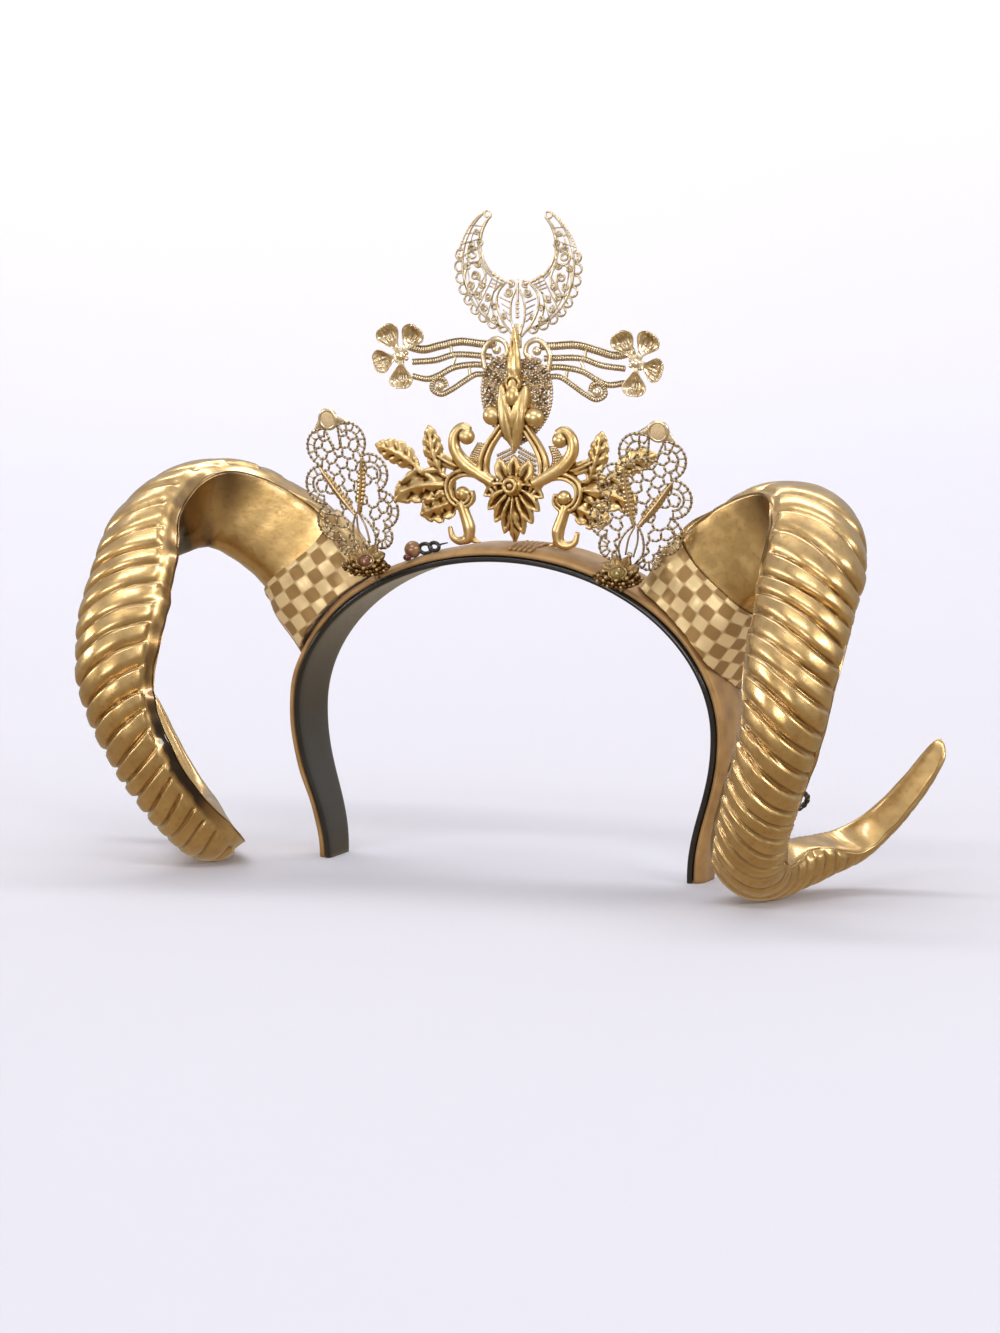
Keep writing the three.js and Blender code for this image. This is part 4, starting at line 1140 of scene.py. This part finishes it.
def loop_shape():
    """An oval of twisted wire that stands on the smooth half of the horn."""
    u = np.array([LOOP_FRACTION])
    out, side = (LOOP_SEAT[key] * radius_at(u) for key in ("out", "side"))
    foot = horn_points(u, out, side)[0]
    stand = unit(horn_points(u, out - 1, side)[0] - foot)
    along = unit(horn_points(u + 0.005, out, side)[0] - foot)
    turn = np.linspace(0, FULL_TURN, 60, endpoint=False)[:, None]
    middle = foot + stand * (LOOP_HALF_HEIGHT + 0.5)
    path = middle + LOOP_HALF_WIDTH * np.cos(turn) * along + LOOP_HALF_HEIGHT * np.sin(turn) * stand
    twist = LOOP_WIRE * (1 + 0.13 * np.cos(12 * turn[:, 0]))
    return Shape().add(tube(path, twist, sides=10, closed=True, facing=np.cross(stand, along)))


finished("wire_loop", loop_shape(), "black_plastic", ["coil_loop"])


# Casting in the middle of the tiara

def scroll(shape, line, half_width, half_depth, ridges, size):
    """A rounded bar, or one with two ridges along it and a groove between them."""
    if ridges == 1:
        shape.bar(line, CASTING_BACK - half_depth, half_width * size, half_depth * size, 16)
        return
    deep = 0.8 * half_depth * size
    shape.bar(line, CASTING_BACK - 0.8 * half_depth, half_width * size, deep, 14)
    for side in (-1, 1):
        edge = beside(line, side * 0.52 * half_width * size)
        shape.bar(edge, CASTING_BACK - 1.3 * half_depth, 0.46 * half_width * size, deep, 10)


def cast_leaf(_, width, height, lobes, notch, flutes, trough, rise, knots):
    return leaf(knots, width, height, lobes, notch, rise=rise, flutes=flutes, trough=trough)


def lifted_onto_band(points, clearance):
    """The points, raised to stand on the band where they would go into it."""
    reach = COVER_THICKNESS + clearance
    share = np.clip(points[:, 0] / (BAND_HALF_WIDTH + reach), -1, 1)
    floor = BAND_SHOULDER + (BAND_TOP - BAND_SHOULDER + reach) * np.sqrt(1 - share**2)
    lifted = points.copy()
    lifted[:, 2] = np.maximum(points[:, 2], floor)
    return lifted


def casting_shape():
    shape = Shape()
    for _, half_width, half_depth, ridges, end, knots in SCROLLS:
        size = np.interp(np.linspace(0, 1, 80), [0, 0.4, 1], [0.8, 1, end])
        scroll(shape, curve(knots, 80), half_width, half_depth, ridges, size)
    for row in LEAVES:
        shape.both(cast_leaf(*row))
    for x, z, radius in BALLS:
        shape.both(ball((x, -1.6, z), radius, (1, 0.9, 1), 14, 20))
    for row in MIDDLE_LEAVES:
        shape.add(cast_leaf(*row))
    shape.bar(ring(0, FLOWER_Z, 2.2, 30), -5.0, 0.8, 0.9, 8, True, single=True)
    shape.add(ball((0, -4.2, FLOWER_Z), 1.3, rows=10, columns=14))
    shape.add(ball((0, -1.6, FLOWER_Z - 0.2), 3.9, (1, 0.9, 1), 10, 16))
    width = np.interp(np.linspace(0, 1, 40), *BUD_WIDTHS)
    shape.bar(curve([(0, z) for z in BUD_KNOTS], 40), -0.6, width, 2.2, 14, single=True)
    shape.add(ball((0, -2.0, 53), 2.8, (1, 0.9, 1.4), 10, 16))
    shape.both(cast_leaf(*BUD_LEAF))
    width = np.interp(np.linspace(0, 1, 60), *SPIKE_WIDTHS)
    shape.bar(curve([(0, z) for z in SPIKE_KNOTS], 60), -0.9, width, 0.8 * width, 12, single=True)
    shape.bar(resampled([(1.1, 60), (0.9, 68), (0.2, 76.4)], 20), -2.4, np.linspace(0.6, 0.25, 20))
    shape.bar(ring(0, 57.6, 2.4, 30), -1.2, 0.7, 1.8, 8, True, single=True)
    shape.blocks = [lifted_onto_band(shape.points() + (0, 0, TIARA_BASE), TIARA_GAP)]
    shape.values = [{}]
    return shape


fused(finished("casting", casting_shape(), "cast_gold", ["crown_casting"]), CASTING_VOXEL)


# Drop behind the spike

def inside(outline, x, z):
    """Whether a point lies in the closed outline."""
    a, b = outline, np.roll(outline, -1, 0)
    crosses = (a[:, 1] > z) != (b[:, 1] > z)
    at = a[:, 0] + (z - a[:, 1]) / np.where(crosses, b[:, 1] - a[:, 1], 1) * (b[:, 0] - a[:, 0])
    return (crosses & (x < at)).sum() % 2 == 1


def drop_shape():
    """A beaded rim and two large loops at the top, filled with small curls and grains."""
    shape = Shape()
    y = DROP_Y
    shape.both(beaded(upright(curve(DROP_HALF, 60), y), 0.8, 1.2, deep=0.8), shade=0.3)
    top = curve(DROP_TOP, 60)
    shape.bar(top, y - 0.2, 0.95, 0.8, 10)
    for k in range(5):
        leg = curve([(12 + 1.3 * k, 26 + k), (14 + 0.8 * k, 31), (12.6 + 0.4 * k, 36)], 30)
        brace = resampled([(0.6, 29 + 1.5 * k), (7.4, 25.4 + 1.6 * k)], 20)
        for path, half_width in ((leg, 0.75), (brace, 0.6)):
            skin, shade = ribbed(upright(path, y), half_width, 0.5)
            shape.both(skin, shade=shade)
    shape.both(beaded(upright(top * (1.05, 1.008) - (0.3, 0), y - 0.2), 0.5, 1.0))
    shape.both(ball((7.6, y, 68.8), 1.7, (1, 0.6, 1)))
    half = np.vstack([curve(DROP_HALF, 40), DROP_CLOSING])
    field = np.vstack([half, half[::-1] * (-1, 1)]) * (0.94, 0.98) + (0, 0.8)
    for row in range(CURL_ROWS):
        for column in range(CURL_COLUMNS):
            x = (column + 0.5 * (row % 2)) * CURL_PITCH + random.uniform(-0.3, 0.3)
            z = CURL_BASE + row * CURL_PITCH * 0.87 + random.uniform(-0.3, 0.3)
            if inside(field, x, z):
                radius = random.uniform(1.05, 1.45)
                start = random.uniform(0, NEARLY_A_TURN)
                curl = spiral(x, z, radius, start, random.uniform(1.1, 1.7), 22)
                depth = random.uniform(0, 0.8)
                # Painted shade: the curls set further back are darker
                shape.bar(curl, y - depth, 0.46, 0.42, 6, shade=0.95 - 0.75 * depth, warm=0.4)
                shape.both(ball((x + 1.1, y - 0.6, z + 0.6), 0.48, rows=4, columns=6))
    shape.bar([(0, 36), (0, 72)], y + 0.3, 0.8, 0.35, 8, single=True)
    return shape.moved((0, 0, TIARA_BASE))


finished("drop", drop_shape(), "pale_gold", ["drop_filigree"])


# Crescent

def crescent_arc(z, radius, share):
    """Points of one of the two arcs, from the right tip at share 0 down to the middle at share 1."""
    tip = math.atan2(CRESCENT["tip_z"] - z, CRESCENT["tip_x"])
    turn = tip + (-math.pi / 2 - tip) * np.asarray(share, float)
    return np.stack([radius * np.cos(turn), z + radius * np.sin(turn)], -1)


def crescent_line(shape, path, half_width=CRESCENT_WIRE, lift=0.0):
    shape.bar(path, CRESCENT_Y - lift, half_width, CRESCENT_DEPTH, 6, shade=0.25)


def crescent_shape():
    """Scalloped and beaded arcs with curls, ovals and struts between them, on a stem behind the drop."""
    shape = Shape()
    y = CRESCENT_Y
    share = np.linspace(0, 1, 160)
    inner = crescent_arc(CRESCENT["inner_z"], CRESCENT["inner"], share)
    outer = crescent_arc(CRESCENT["z"], CRESCENT["outer"], share)
    crescent_line(shape, inner[:112], 0.5)
    shape.both(beaded(upright(inner[108:150] + (0, 0.6), y), 0.7, 1.6))
    crescent_line(shape, outer[6:144] * (0.93, 1) + (0, 0.4))
    crescent_line(shape, outer[30:150] * (0.83, 1) + (0.3, 0.6), 0.3)
    crescent_line(shape, inner[10:112] + (0.9, -0.5), 0.3)
    shape.both(beaded(upright(outer[2:60], y), 0.45, 1.1))
    for x, z in crescent_arc(CRESCENT["z"], CRESCENT["outer"] - 0.5, np.linspace(0.33, 0.9, 9)):
        facing = math.atan2(z - CRESCENT["z"], x)
        crescent_line(shape, ring(x, z, 1.75, 16, facing - 1.9, 3.8))
    for x, z, radius, start, turns in CRESCENT_CURLS:
        crescent_line(shape, spiral(x, z, radius, start, turns, 30))
    for x, z, radius, tall in CRESCENT_OVALS:
        shape.bar(ring(x, z, radius, 36, tall=tall), y, CRESCENT_WIRE, CRESCENT_DEPTH, 6, True)
    for k in CRESCENT_STRUTS:
        at = round((len(share) - 1) * k)
        crescent_line(shape, resampled([inner[min(at, 120)], outer[at]], 6), 0.28)
    shape.bar(ring(11.5, 115.9, 1.15, 20), y, 0.4, CRESCENT_DEPTH, 8, True)
    midrib = resampled([(0, CRESCENT_STEM_TOP), (0, CRESCENT_STEM_TOP - 8.4)], 8)
    shape.bar(midrib, y - 0.2, 0.4, 0.5, single=True)
    for k in range(4):
        shape.add(ball((0, y - 0.6, 85 - 1.5 * k), 0.75, rows=5, columns=8))
    for half_width, lift, knots in CRESCENT_FOOT:
        crescent_line(shape, curve(knots, 30), half_width, lift)
    for k in range(4):
        upper = [(5.4 + 0.9 * k, 92.6 - 0.9 * k), (9.2 + 0.7 * k, 94.6 - 1.2 * k)]
        lower = [(3.0, 85.4 - 2.2 * k), (6.8 - 0.6 * k, 87 - 2.2 * k)]
        for ends in (upper, lower):
            crescent_line(shape, resampled(ends, 6), 0.3)
    shape.bar(resampled([(0, 78), (0, 69.5)], 10), y, 1.4, 0.4, 10, single=True)
    return shape.moved((0, 0, TIARA_BASE))


finished("crescent", crescent_shape(), "pale_gold", ["crescent_filigree"])


# Arms

def petal_skin(tip, y):
    """A fluted cup that opens away from the middle of the flower, and its shade."""
    stem = np.linalg.norm(np.asarray(tip) - ARM_FLOWER)
    away = (np.asarray(tip) - ARM_FLOWER) / stem
    aside = np.array((-away[1], away[0]))
    s = np.linspace(0, 1, PETAL_ROWS)[:, None]
    v = np.linspace(-1, 1, PETAL_COLUMNS)[None, :]
    past = np.maximum(s - 0.72, 0) / 0.29
    spread = PETAL_STEM + PETAL_RADIUS * smooth(0.2, 0.75, s) * np.sqrt(np.clip(1 - past**2, 0.02, 1))
    bowl = hump(0.25, 0.6, 0.75, 1.0, s) * (1 - v**2)
    flute = 0.2 * np.cos(v * math.pi * 5) * smooth(0.3, 0.6, s)
    depth = 2.6 * bowl - 0.6 - 0.8 * s + flute
    reach = (stem + PETAL_RADIUS) * s
    flat = ARM_FLOWER + away * reach[..., None] + aside * (spread * v)[..., None]
    front, rear = (np.stack([flat[..., 0], y + depth + off, flat[..., 1]], -1) for off in (-0.5, 0.3))
    points = np.concatenate([front, rear[:, ::-1]], 1)
    # Painted shade, deeper inside the cup
    shade = np.concatenate([0.05 + 0.35 * bowl, 0.2 + 0 * bowl], 1).ravel()
    return (points, capped(PETAL_ROWS, points.shape[1])), shade


def arm_shape():
    """Four ribbed wires with a fine edge, joined by struts, and a flower of four cups at their ends."""
    shape = Shape()
    y = CRESCENT_Y
    for half_width, knots in ARM_WIRES:
        line = curve(knots, 120)
        skin, shade = ribbed(upright(line, y), half_width, 0.9)
        shape.add(skin, shade=shade)
        shape.bar(beside(line, half_width), y - 0.1, 0.24, 0.4, 6, single=True, shade=0.5)
    for path in ARM_STRUTS:
        shape.bar(resampled(path, 5), y, 0.6, 0.4, single=True)
    for tip in PETAL_TIPS:
        skin, shade = petal_skin(tip, y)
        shape.add(skin, shade=shade, warm=0.05)
    shape.add(ball((ARM_KNOB[0], y - 0.2, ARM_KNOB[1]), 1.7, (1, 0.5, 1)))
    shape.add(ball((ARM_FLOWER[0], y - 0.6, ARM_FLOWER[1]), 2.0, (1, 0.6, 1), 8, 12))
    for x, z in ring(*ARM_FLOWER, 2.3, ARM_GRAINS):
        shape.add(ball((x, y - 0.4, z), 0.8))
    return shape.moved((0, 0, TIARA_BASE))


# Wings

def in_cells(x, z):
    """Whether a point of half a wing lies where small cells fill it."""
    in_lobe = any(math.hypot(x - a, z - b) < radius - WING_BORDER + 0.3 for a, b, radius, _, _ in WING_LOBES)
    in_opening = (x < 3.8 and z < WING_HEART - 1) or (x < 1.9 and z > WING_SLOT[0][1])
    return in_lobe or (x < 8.6 and 3 < z < 41 and not in_opening)


def on_arc(x, z):
    """Whether a point lies on the inner arc of a lobe."""
    for a, b, radius, first, last in WING_LOBES:
        off = abs(math.hypot(x - a, z - b) - radius + WING_BORDER)
        if off < 0.9 and last <= math.degrees(math.atan2(z - b, x - a)) <= first:
            return True
    return False


def cell_walls():
    """Both ends of each wall of the uneven six-sided cells in half a wing, apart from loose ones."""
    walls = []
    for column in range(8):
        for row in range(16):
            x = 1.5 * WING_CELL * column
            z = math.sqrt(3) * WING_CELL * (row + 0.5 * (column % 2))
            corners = ring(x, z, WING_CELL, 6)[:4]
            corners = corners + 0.4 * np.sin(corners[:, ::-1] * 2.3 + (0, 1.5))
            for start, end in zip(corners, corners[1:]):
                centre = (start + end) / 2
                if centre[0] > -0.2 and in_cells(*centre):
                    walls.append((start, end))
    lines = np.vstack([curve(knots, 50) for knots in (WING_VEIN, WING_OPENING, WING_SLOT)])
    for _ in range(5):
        ends = np.array(walls).reshape(-1, 2)
        held = (np.linalg.norm(ends[:, None] - ends[None], axis=2) < 0.05).sum(1) > 1
        held |= np.linalg.norm(ends[:, None] - lines[None], axis=2).min(1) < 1.2
        held |= np.array([on_arc(*end) for end in ends]) | (ends[:, 0] < 0.5)
        walls = [wall for wall, both in zip(walls, held.reshape(-1, 2)) if both.all()]
    return walls


def wing_line(shape, path, half_width, shade=0.4):
    shape.bar(path, WING_Y, half_width, 0.45, 6, shade=shade)


def wing_dot(shape, x, z, radius):
    # The dark dots are painted shadows between the beads of the lace
    shape.both(ball((x, WING_Y - 0.15, z), radius, (1, 0.8, 1), 5, 7), shade=0.82)


def dotted_line(shape, path, radius, pitch=1.5):
    wing_line(shape, path, 0.42, 0.35)
    for x, z in resampled(path, max(2, round(run_of(path)[-1] / pitch))):
        wing_dot(shape, x, z, radius)


def wing_shape():
    """Scalloped lobes of dotted arcs with struts, round a V of two hatched veins, and a ring seat on top."""
    shape = Shape()
    y = WING_Y
    for x, z, radius, first, last in WING_LOBES:
        start, sweep = math.radians(first), math.radians(last - first)
        dotted_line(shape, ring(x, z, radius, 40, start, sweep), 0.6)
        dotted_line(shape, ring(x, z, radius - WING_BORDER, 30, start, sweep), 0.5)
        both_ends = (ring(x, z, r, WING_STRUTS, start, sweep) for r in (radius - WING_BORDER, radius))
        for ends in zip(*both_ends):
            wing_line(shape, resampled(ends, 4), 0.36)
    for start, end in cell_walls():
        wing_line(shape, resampled([start, end], 4), 0.42)
        wing_dot(shape, *(start + end) / 2, 0.55)
    vein = curve(WING_VEIN, 50)
    skin, shade = ribbed(upright(vein, y - 0.3), 1.9, 0.7, 1.5, True)
    shape.both(skin, shade=0.6 * shade, warm=0.6)
    shape.bar(vein, y - 0.9, 0.5, 0.4, 6, warm=0.4)
    dotted_line(shape, curve(WING_OPENING, 30), 0.48)
    wing_line(shape, curve(WING_OPENING_LINE, 20), 0.36)
    dotted_line(shape, curve(WING_SLOT, 24), 0.48, 1.3)
    shape.bar(resampled(WING_PLATE, 12), y, np.linspace(2.7, 0.5, 12), 0.4, 10, shade=0.2)
    shape.bar(ring(0, WING_SEAT, 3.2, 40), y - 0.2, 0.8, 0.7, 10, True, single=True, shade=0.1)
    shape.bar(ring(0, WING_SEAT, 2.3, 30), y - 0.5, 0.35, 0.4, 8, True, single=True, shade=0.6)
    return shape.bar(resampled([(0, 4), (0, -10)], 12), y, 0.9, 1.1, single=True, shade=0.5)


def pad_shape():
    return Shape().add(ball((0, 0.0, WING_SEAT), 2.8, (1, 0.4, 1.1), 8, 16))


def turned(shape, place, tilt=0.0, lean=0.0, splay=0.0):
    """Tilted in its own plane, leant back, splayed, and moved to its place."""
    a, b, c = (math.radians(angle) for angle in (tilt, lean, splay))
    about_y = np.array([(math.cos(a), 0, math.sin(a)), (0, 1, 0), (-math.sin(a), 0, math.cos(a))])
    about_x = np.array([(1, 0, 0), (0, math.cos(b), -math.sin(b)), (0, math.sin(b), math.cos(b))])
    about_z = np.array([(math.cos(c), -math.sin(c), 0), (math.sin(c), math.cos(c), 0), (0, 0, 1)])
    return shape.moved(place, about_z @ about_x @ about_y)


# Rosettes

def rosette_shape():
    """Smooth petals above the ring of a stone, with seed beads in rows below it."""
    shape = Shape()
    for tip in ROSETTE_PETALS:
        root = (0.25 * tip[0], 0.15 * tip[1])
        shape.add(leaf([root, tip], 4.2, 2.4, 1, 0.0, back=0.0, rise=1.0, trough=0.25), hollow=0.45)
    for row, (radius, count) in enumerate(ROSETTE_ROWS):
        for k in range(count):
            turn = math.radians(175 + 10 * row + (190 - 20 * row) * k / (count - 1))
            place = (1.15 * radius * math.cos(turn), -2.3 + 0.6 * row, 0.62 * radius * math.sin(turn))
            bead = ball(place, 0.85 - 0.1 * (k % 3), rows=6, columns=9)
            shape.add(bead, hollow=0.25 + 0.3 * ((5 * k + row) % 3))
    shape.add(ball((0, 1.5, -0.6), 6.2, (1.2, 0.5, 0.62), 10, 20), hollow=0.8)
    return shape.bar(ring(0, 0, 3.2, 30, tall=0.75), -2.0, 0.5, 0.7, 8, True, single=True, hollow=0.4)


def stone_shape():
    """A faceted oval stone: a point in front, three staggered rings of corners and a point behind."""
    wide, deep, high = STONE_SIZE
    points = [(0, STONE_Y - 2.0, 0)]
    for k, polar in enumerate(STONE_RINGS):
        for turn in FULL_TURN * (np.arange(STONE_SIDES) + 0.5 * (k % 2)) / STONE_SIDES:
            points.append((wide * math.sin(polar) * math.cos(turn), STONE_Y - deep * math.cos(polar),
                           high * math.sin(polar) * math.sin(turn)))
    points.append((0, STONE_Y + 0.9, 0))
    faces = []
    first, second, third = (1 + STONE_SIDES * k for k in range(3))
    for j in range(STONE_SIDES):
        k = (j + 1) % STONE_SIDES
        faces += [(0, first + j, first + k),
                  (first + j, second + j, first + k), (first + k, second + j, second + k),
                  (second + j, third + k, second + k), (second + j, third + j, third + k),
                  (third + j, third + STONE_SIDES, third + k)]
    return Shape().add((np.array(points), [np.array(faces)]))


arm = arm_shape()
wing = turned(wing_shape(), WING_PLACE, **WING_TURN)
pad = turned(pad_shape(), WING_PLACE, **WING_TURN)
rosette = turned(rosette_shape(), ROSETTE_PLACE, lean=ROSETTE_LEAN)
stone = turned(stone_shape(), ROSETTE_PLACE, lean=ROSETTE_LEAN)
for side, mirror, _, _, stone_colour in SIDES:
    finished(f"ribbed_arm_{side}", arm, "pale_gold", [f"arm_{side}"], mirror)
    finished(f"lace_wing_{side}", wing, "pale_gold", [f"wing_{side}"], mirror)
    finished(f"seat_pad_{side}", pad, "satin", (), mirror, "tan_pad")
    finished(f"bead_rosette_{side}", rosette, "cast_gold", [f"rosette_{side}"], mirror)
    finished(f"stone_{side}", stone, "pearl", (), mirror, stone_colour, sharp=True)


# Beads and ties on the band

def tie_shape():
    """Two links of black wire and the tail that they end in."""
    shape = Shape()
    for x, z, radius in TIE_LINKS:
        link = ring(x, z, TIE_STRETCH * radius, 30, tall=1 / TIE_STRETCH)
        shape.bar(link, TIE_Y, 0.7, 0.7, 8, True, single=True)
    return shape.bar(resampled(TIE_TAIL, 8), TIE_Y, np.linspace(0.45, 0.2, 8), single=True)


def binding_shape():
    """Turns of thread over the top of the band."""
    shape = Shape()
    y = np.linspace(*BINDING_Y, 20)
    for x in BINDING_X:
        top = BAND_SHOULDER + (BAND_TOP - BAND_SHOULDER) * math.sqrt(1 - (x / BAND_HALF_WIDTH) ** 2)
        height = top + COVER_THICKNESS + 0.35 - 1.3 * (np.abs(y) / 14) ** 5
        shape.add(tube(np.stack([x + 0.3 * np.sin(y), y, height], 1), 0.75, 0.55, 8, facing=(0, 0, 1)))
    return shape


round_pearl = ball(**PEARL, rows=16, columns=24)
round_red_bead = ball(**RED_BEAD, flatten=(1, 1, 0.85), rows=12, columns=18)
finished("round_pearl", Shape().add(round_pearl), "pearl", ["pearl"])
finished("round_red_bead", Shape().add(round_red_bead), "red_bead", ["red_bead"])
finished("tie_wire", tie_shape(), "black_plastic")
finished("binding", binding_shape(), "satin")


# Stage, light and camera

def backdrop():
    """A pale floor that curves up into a wall behind the crown, seen square from the camera."""
    near, far = BACKDROP_REACH
    profile = [(near, 0.0), (far, 0.0)]
    for turn in np.linspace(0, math.pi / 2, 13)[1:]:
        profile.append((far + BACKDROP_BEND * math.sin(turn), BACKDROP_BEND * (1 - math.cos(turn))))
    profile.append((far + BACKDROP_BEND, BACKDROP_HEIGHT))
    ahead = np.array((-math.sin(CAMERA_YAW), math.cos(CAMERA_YAW)))
    aside = np.array((math.cos(CAMERA_YAW), math.sin(CAMERA_YAW)))
    points = [(*(ahead * distance + aside * wide), height)
              for wide in (-BACKDROP_HALF_WIDTH, BACKDROP_HALF_WIDTH) for distance, height in profile]
    count = len(profile)
    faces = [(k, k + 1, k + 1 + count, k + count) for k in range(count - 1)]
    paper = Finish("backdrop", {"Roughness": 0.9, "Specular IOR Level": 0.1})
    height = paper.maths("ADD", paper.axis("Z"), paper.maths("MULTIPLY", paper.noise(400, 1), 0.1))
    paper.colour(paper.ramp(height, (0.05, (206, 205, 213)), (1.0, (246, 245, 247))))
    mesh = bpy.data.meshes.new("backdrop")
    mesh.from_pydata(points, [], faces)
    mesh.polygons.foreach_set("use_smooth", [True] * len(faces))
    mesh.materials.append(paper.material)
    made = bpy.data.objects.new("backdrop", mesh)
    bpy.context.scene.collection.objects.link(made)
    made.visible_glossy = False


def studio_world():
    """A dim room that is brighter overhead, which the metal mirrors in place of the pale backdrop."""
    world = bpy.data.worlds.new("studio")
    world.use_nodes = True
    tree = world.node_tree
    place = tree.nodes.new("ShaderNodeTexCoord")
    split = tree.nodes.new("ShaderNodeSeparateXYZ")
    height = tree.nodes.new("ShaderNodeMapRange")
    height.inputs["From Min"].default_value = -1
    ramp = tree.nodes.new("ShaderNodeValToRGB")
    set_stops(ramp, ROOM_LIGHT)
    tree.links.new(place.outputs["Generated"], split.inputs["Vector"])
    tree.links.new(split.outputs["Z"], height.inputs["Value"])
    tree.links.new(height.outputs["Result"], ramp.inputs["Fac"])
    tree.links.new(ramp.outputs["Color"], tree.nodes["Background"].inputs["Color"])
    bpy.context.scene.world = world


def area_light(name, place, target, size, power):
    data = bpy.data.lights.new(name, "AREA")
    data.shape = "RECTANGLE"
    data.size, data.size_y = size
    data.energy = power
    made = bpy.data.objects.new(name, data)
    made.location = place
    made.rotation_euler = (Vector(target) - Vector(place)).to_track_quat("-Z", "Y").to_euler()
    bpy.context.scene.collection.objects.link(made)


def photo_camera():
    level = math.cos(CAMERA_ELEVATION)
    aside, ahead = math.sin(CAMERA_YAW) * level, -math.cos(CAMERA_YAW) * level
    toward = np.array((aside, ahead, math.sin(CAMERA_ELEVATION)))
    data = bpy.data.cameras.new("camera")
    data.lens = CAMERA_LENS
    data.sensor_width = CAMERA_SENSOR
    data.clip_start = 0.01
    camera = bpy.data.objects.new("camera", data)
    camera.location = (CAMERA_TARGET + (0, BAND_Y, 0) + toward * CAMERA_DISTANCE) * MILLIMETRE
    camera.rotation_euler = Vector(-toward).to_track_quat("-Z", "Y").to_euler()
    bpy.context.scene.collection.objects.link(camera)
    bpy.context.scene.camera = camera


backdrop()
for light_row in LIGHTS:
    area_light(*light_row)
studio_world()
photo_camera()
bpy.context.scene.view_settings.view_transform = "Standard"
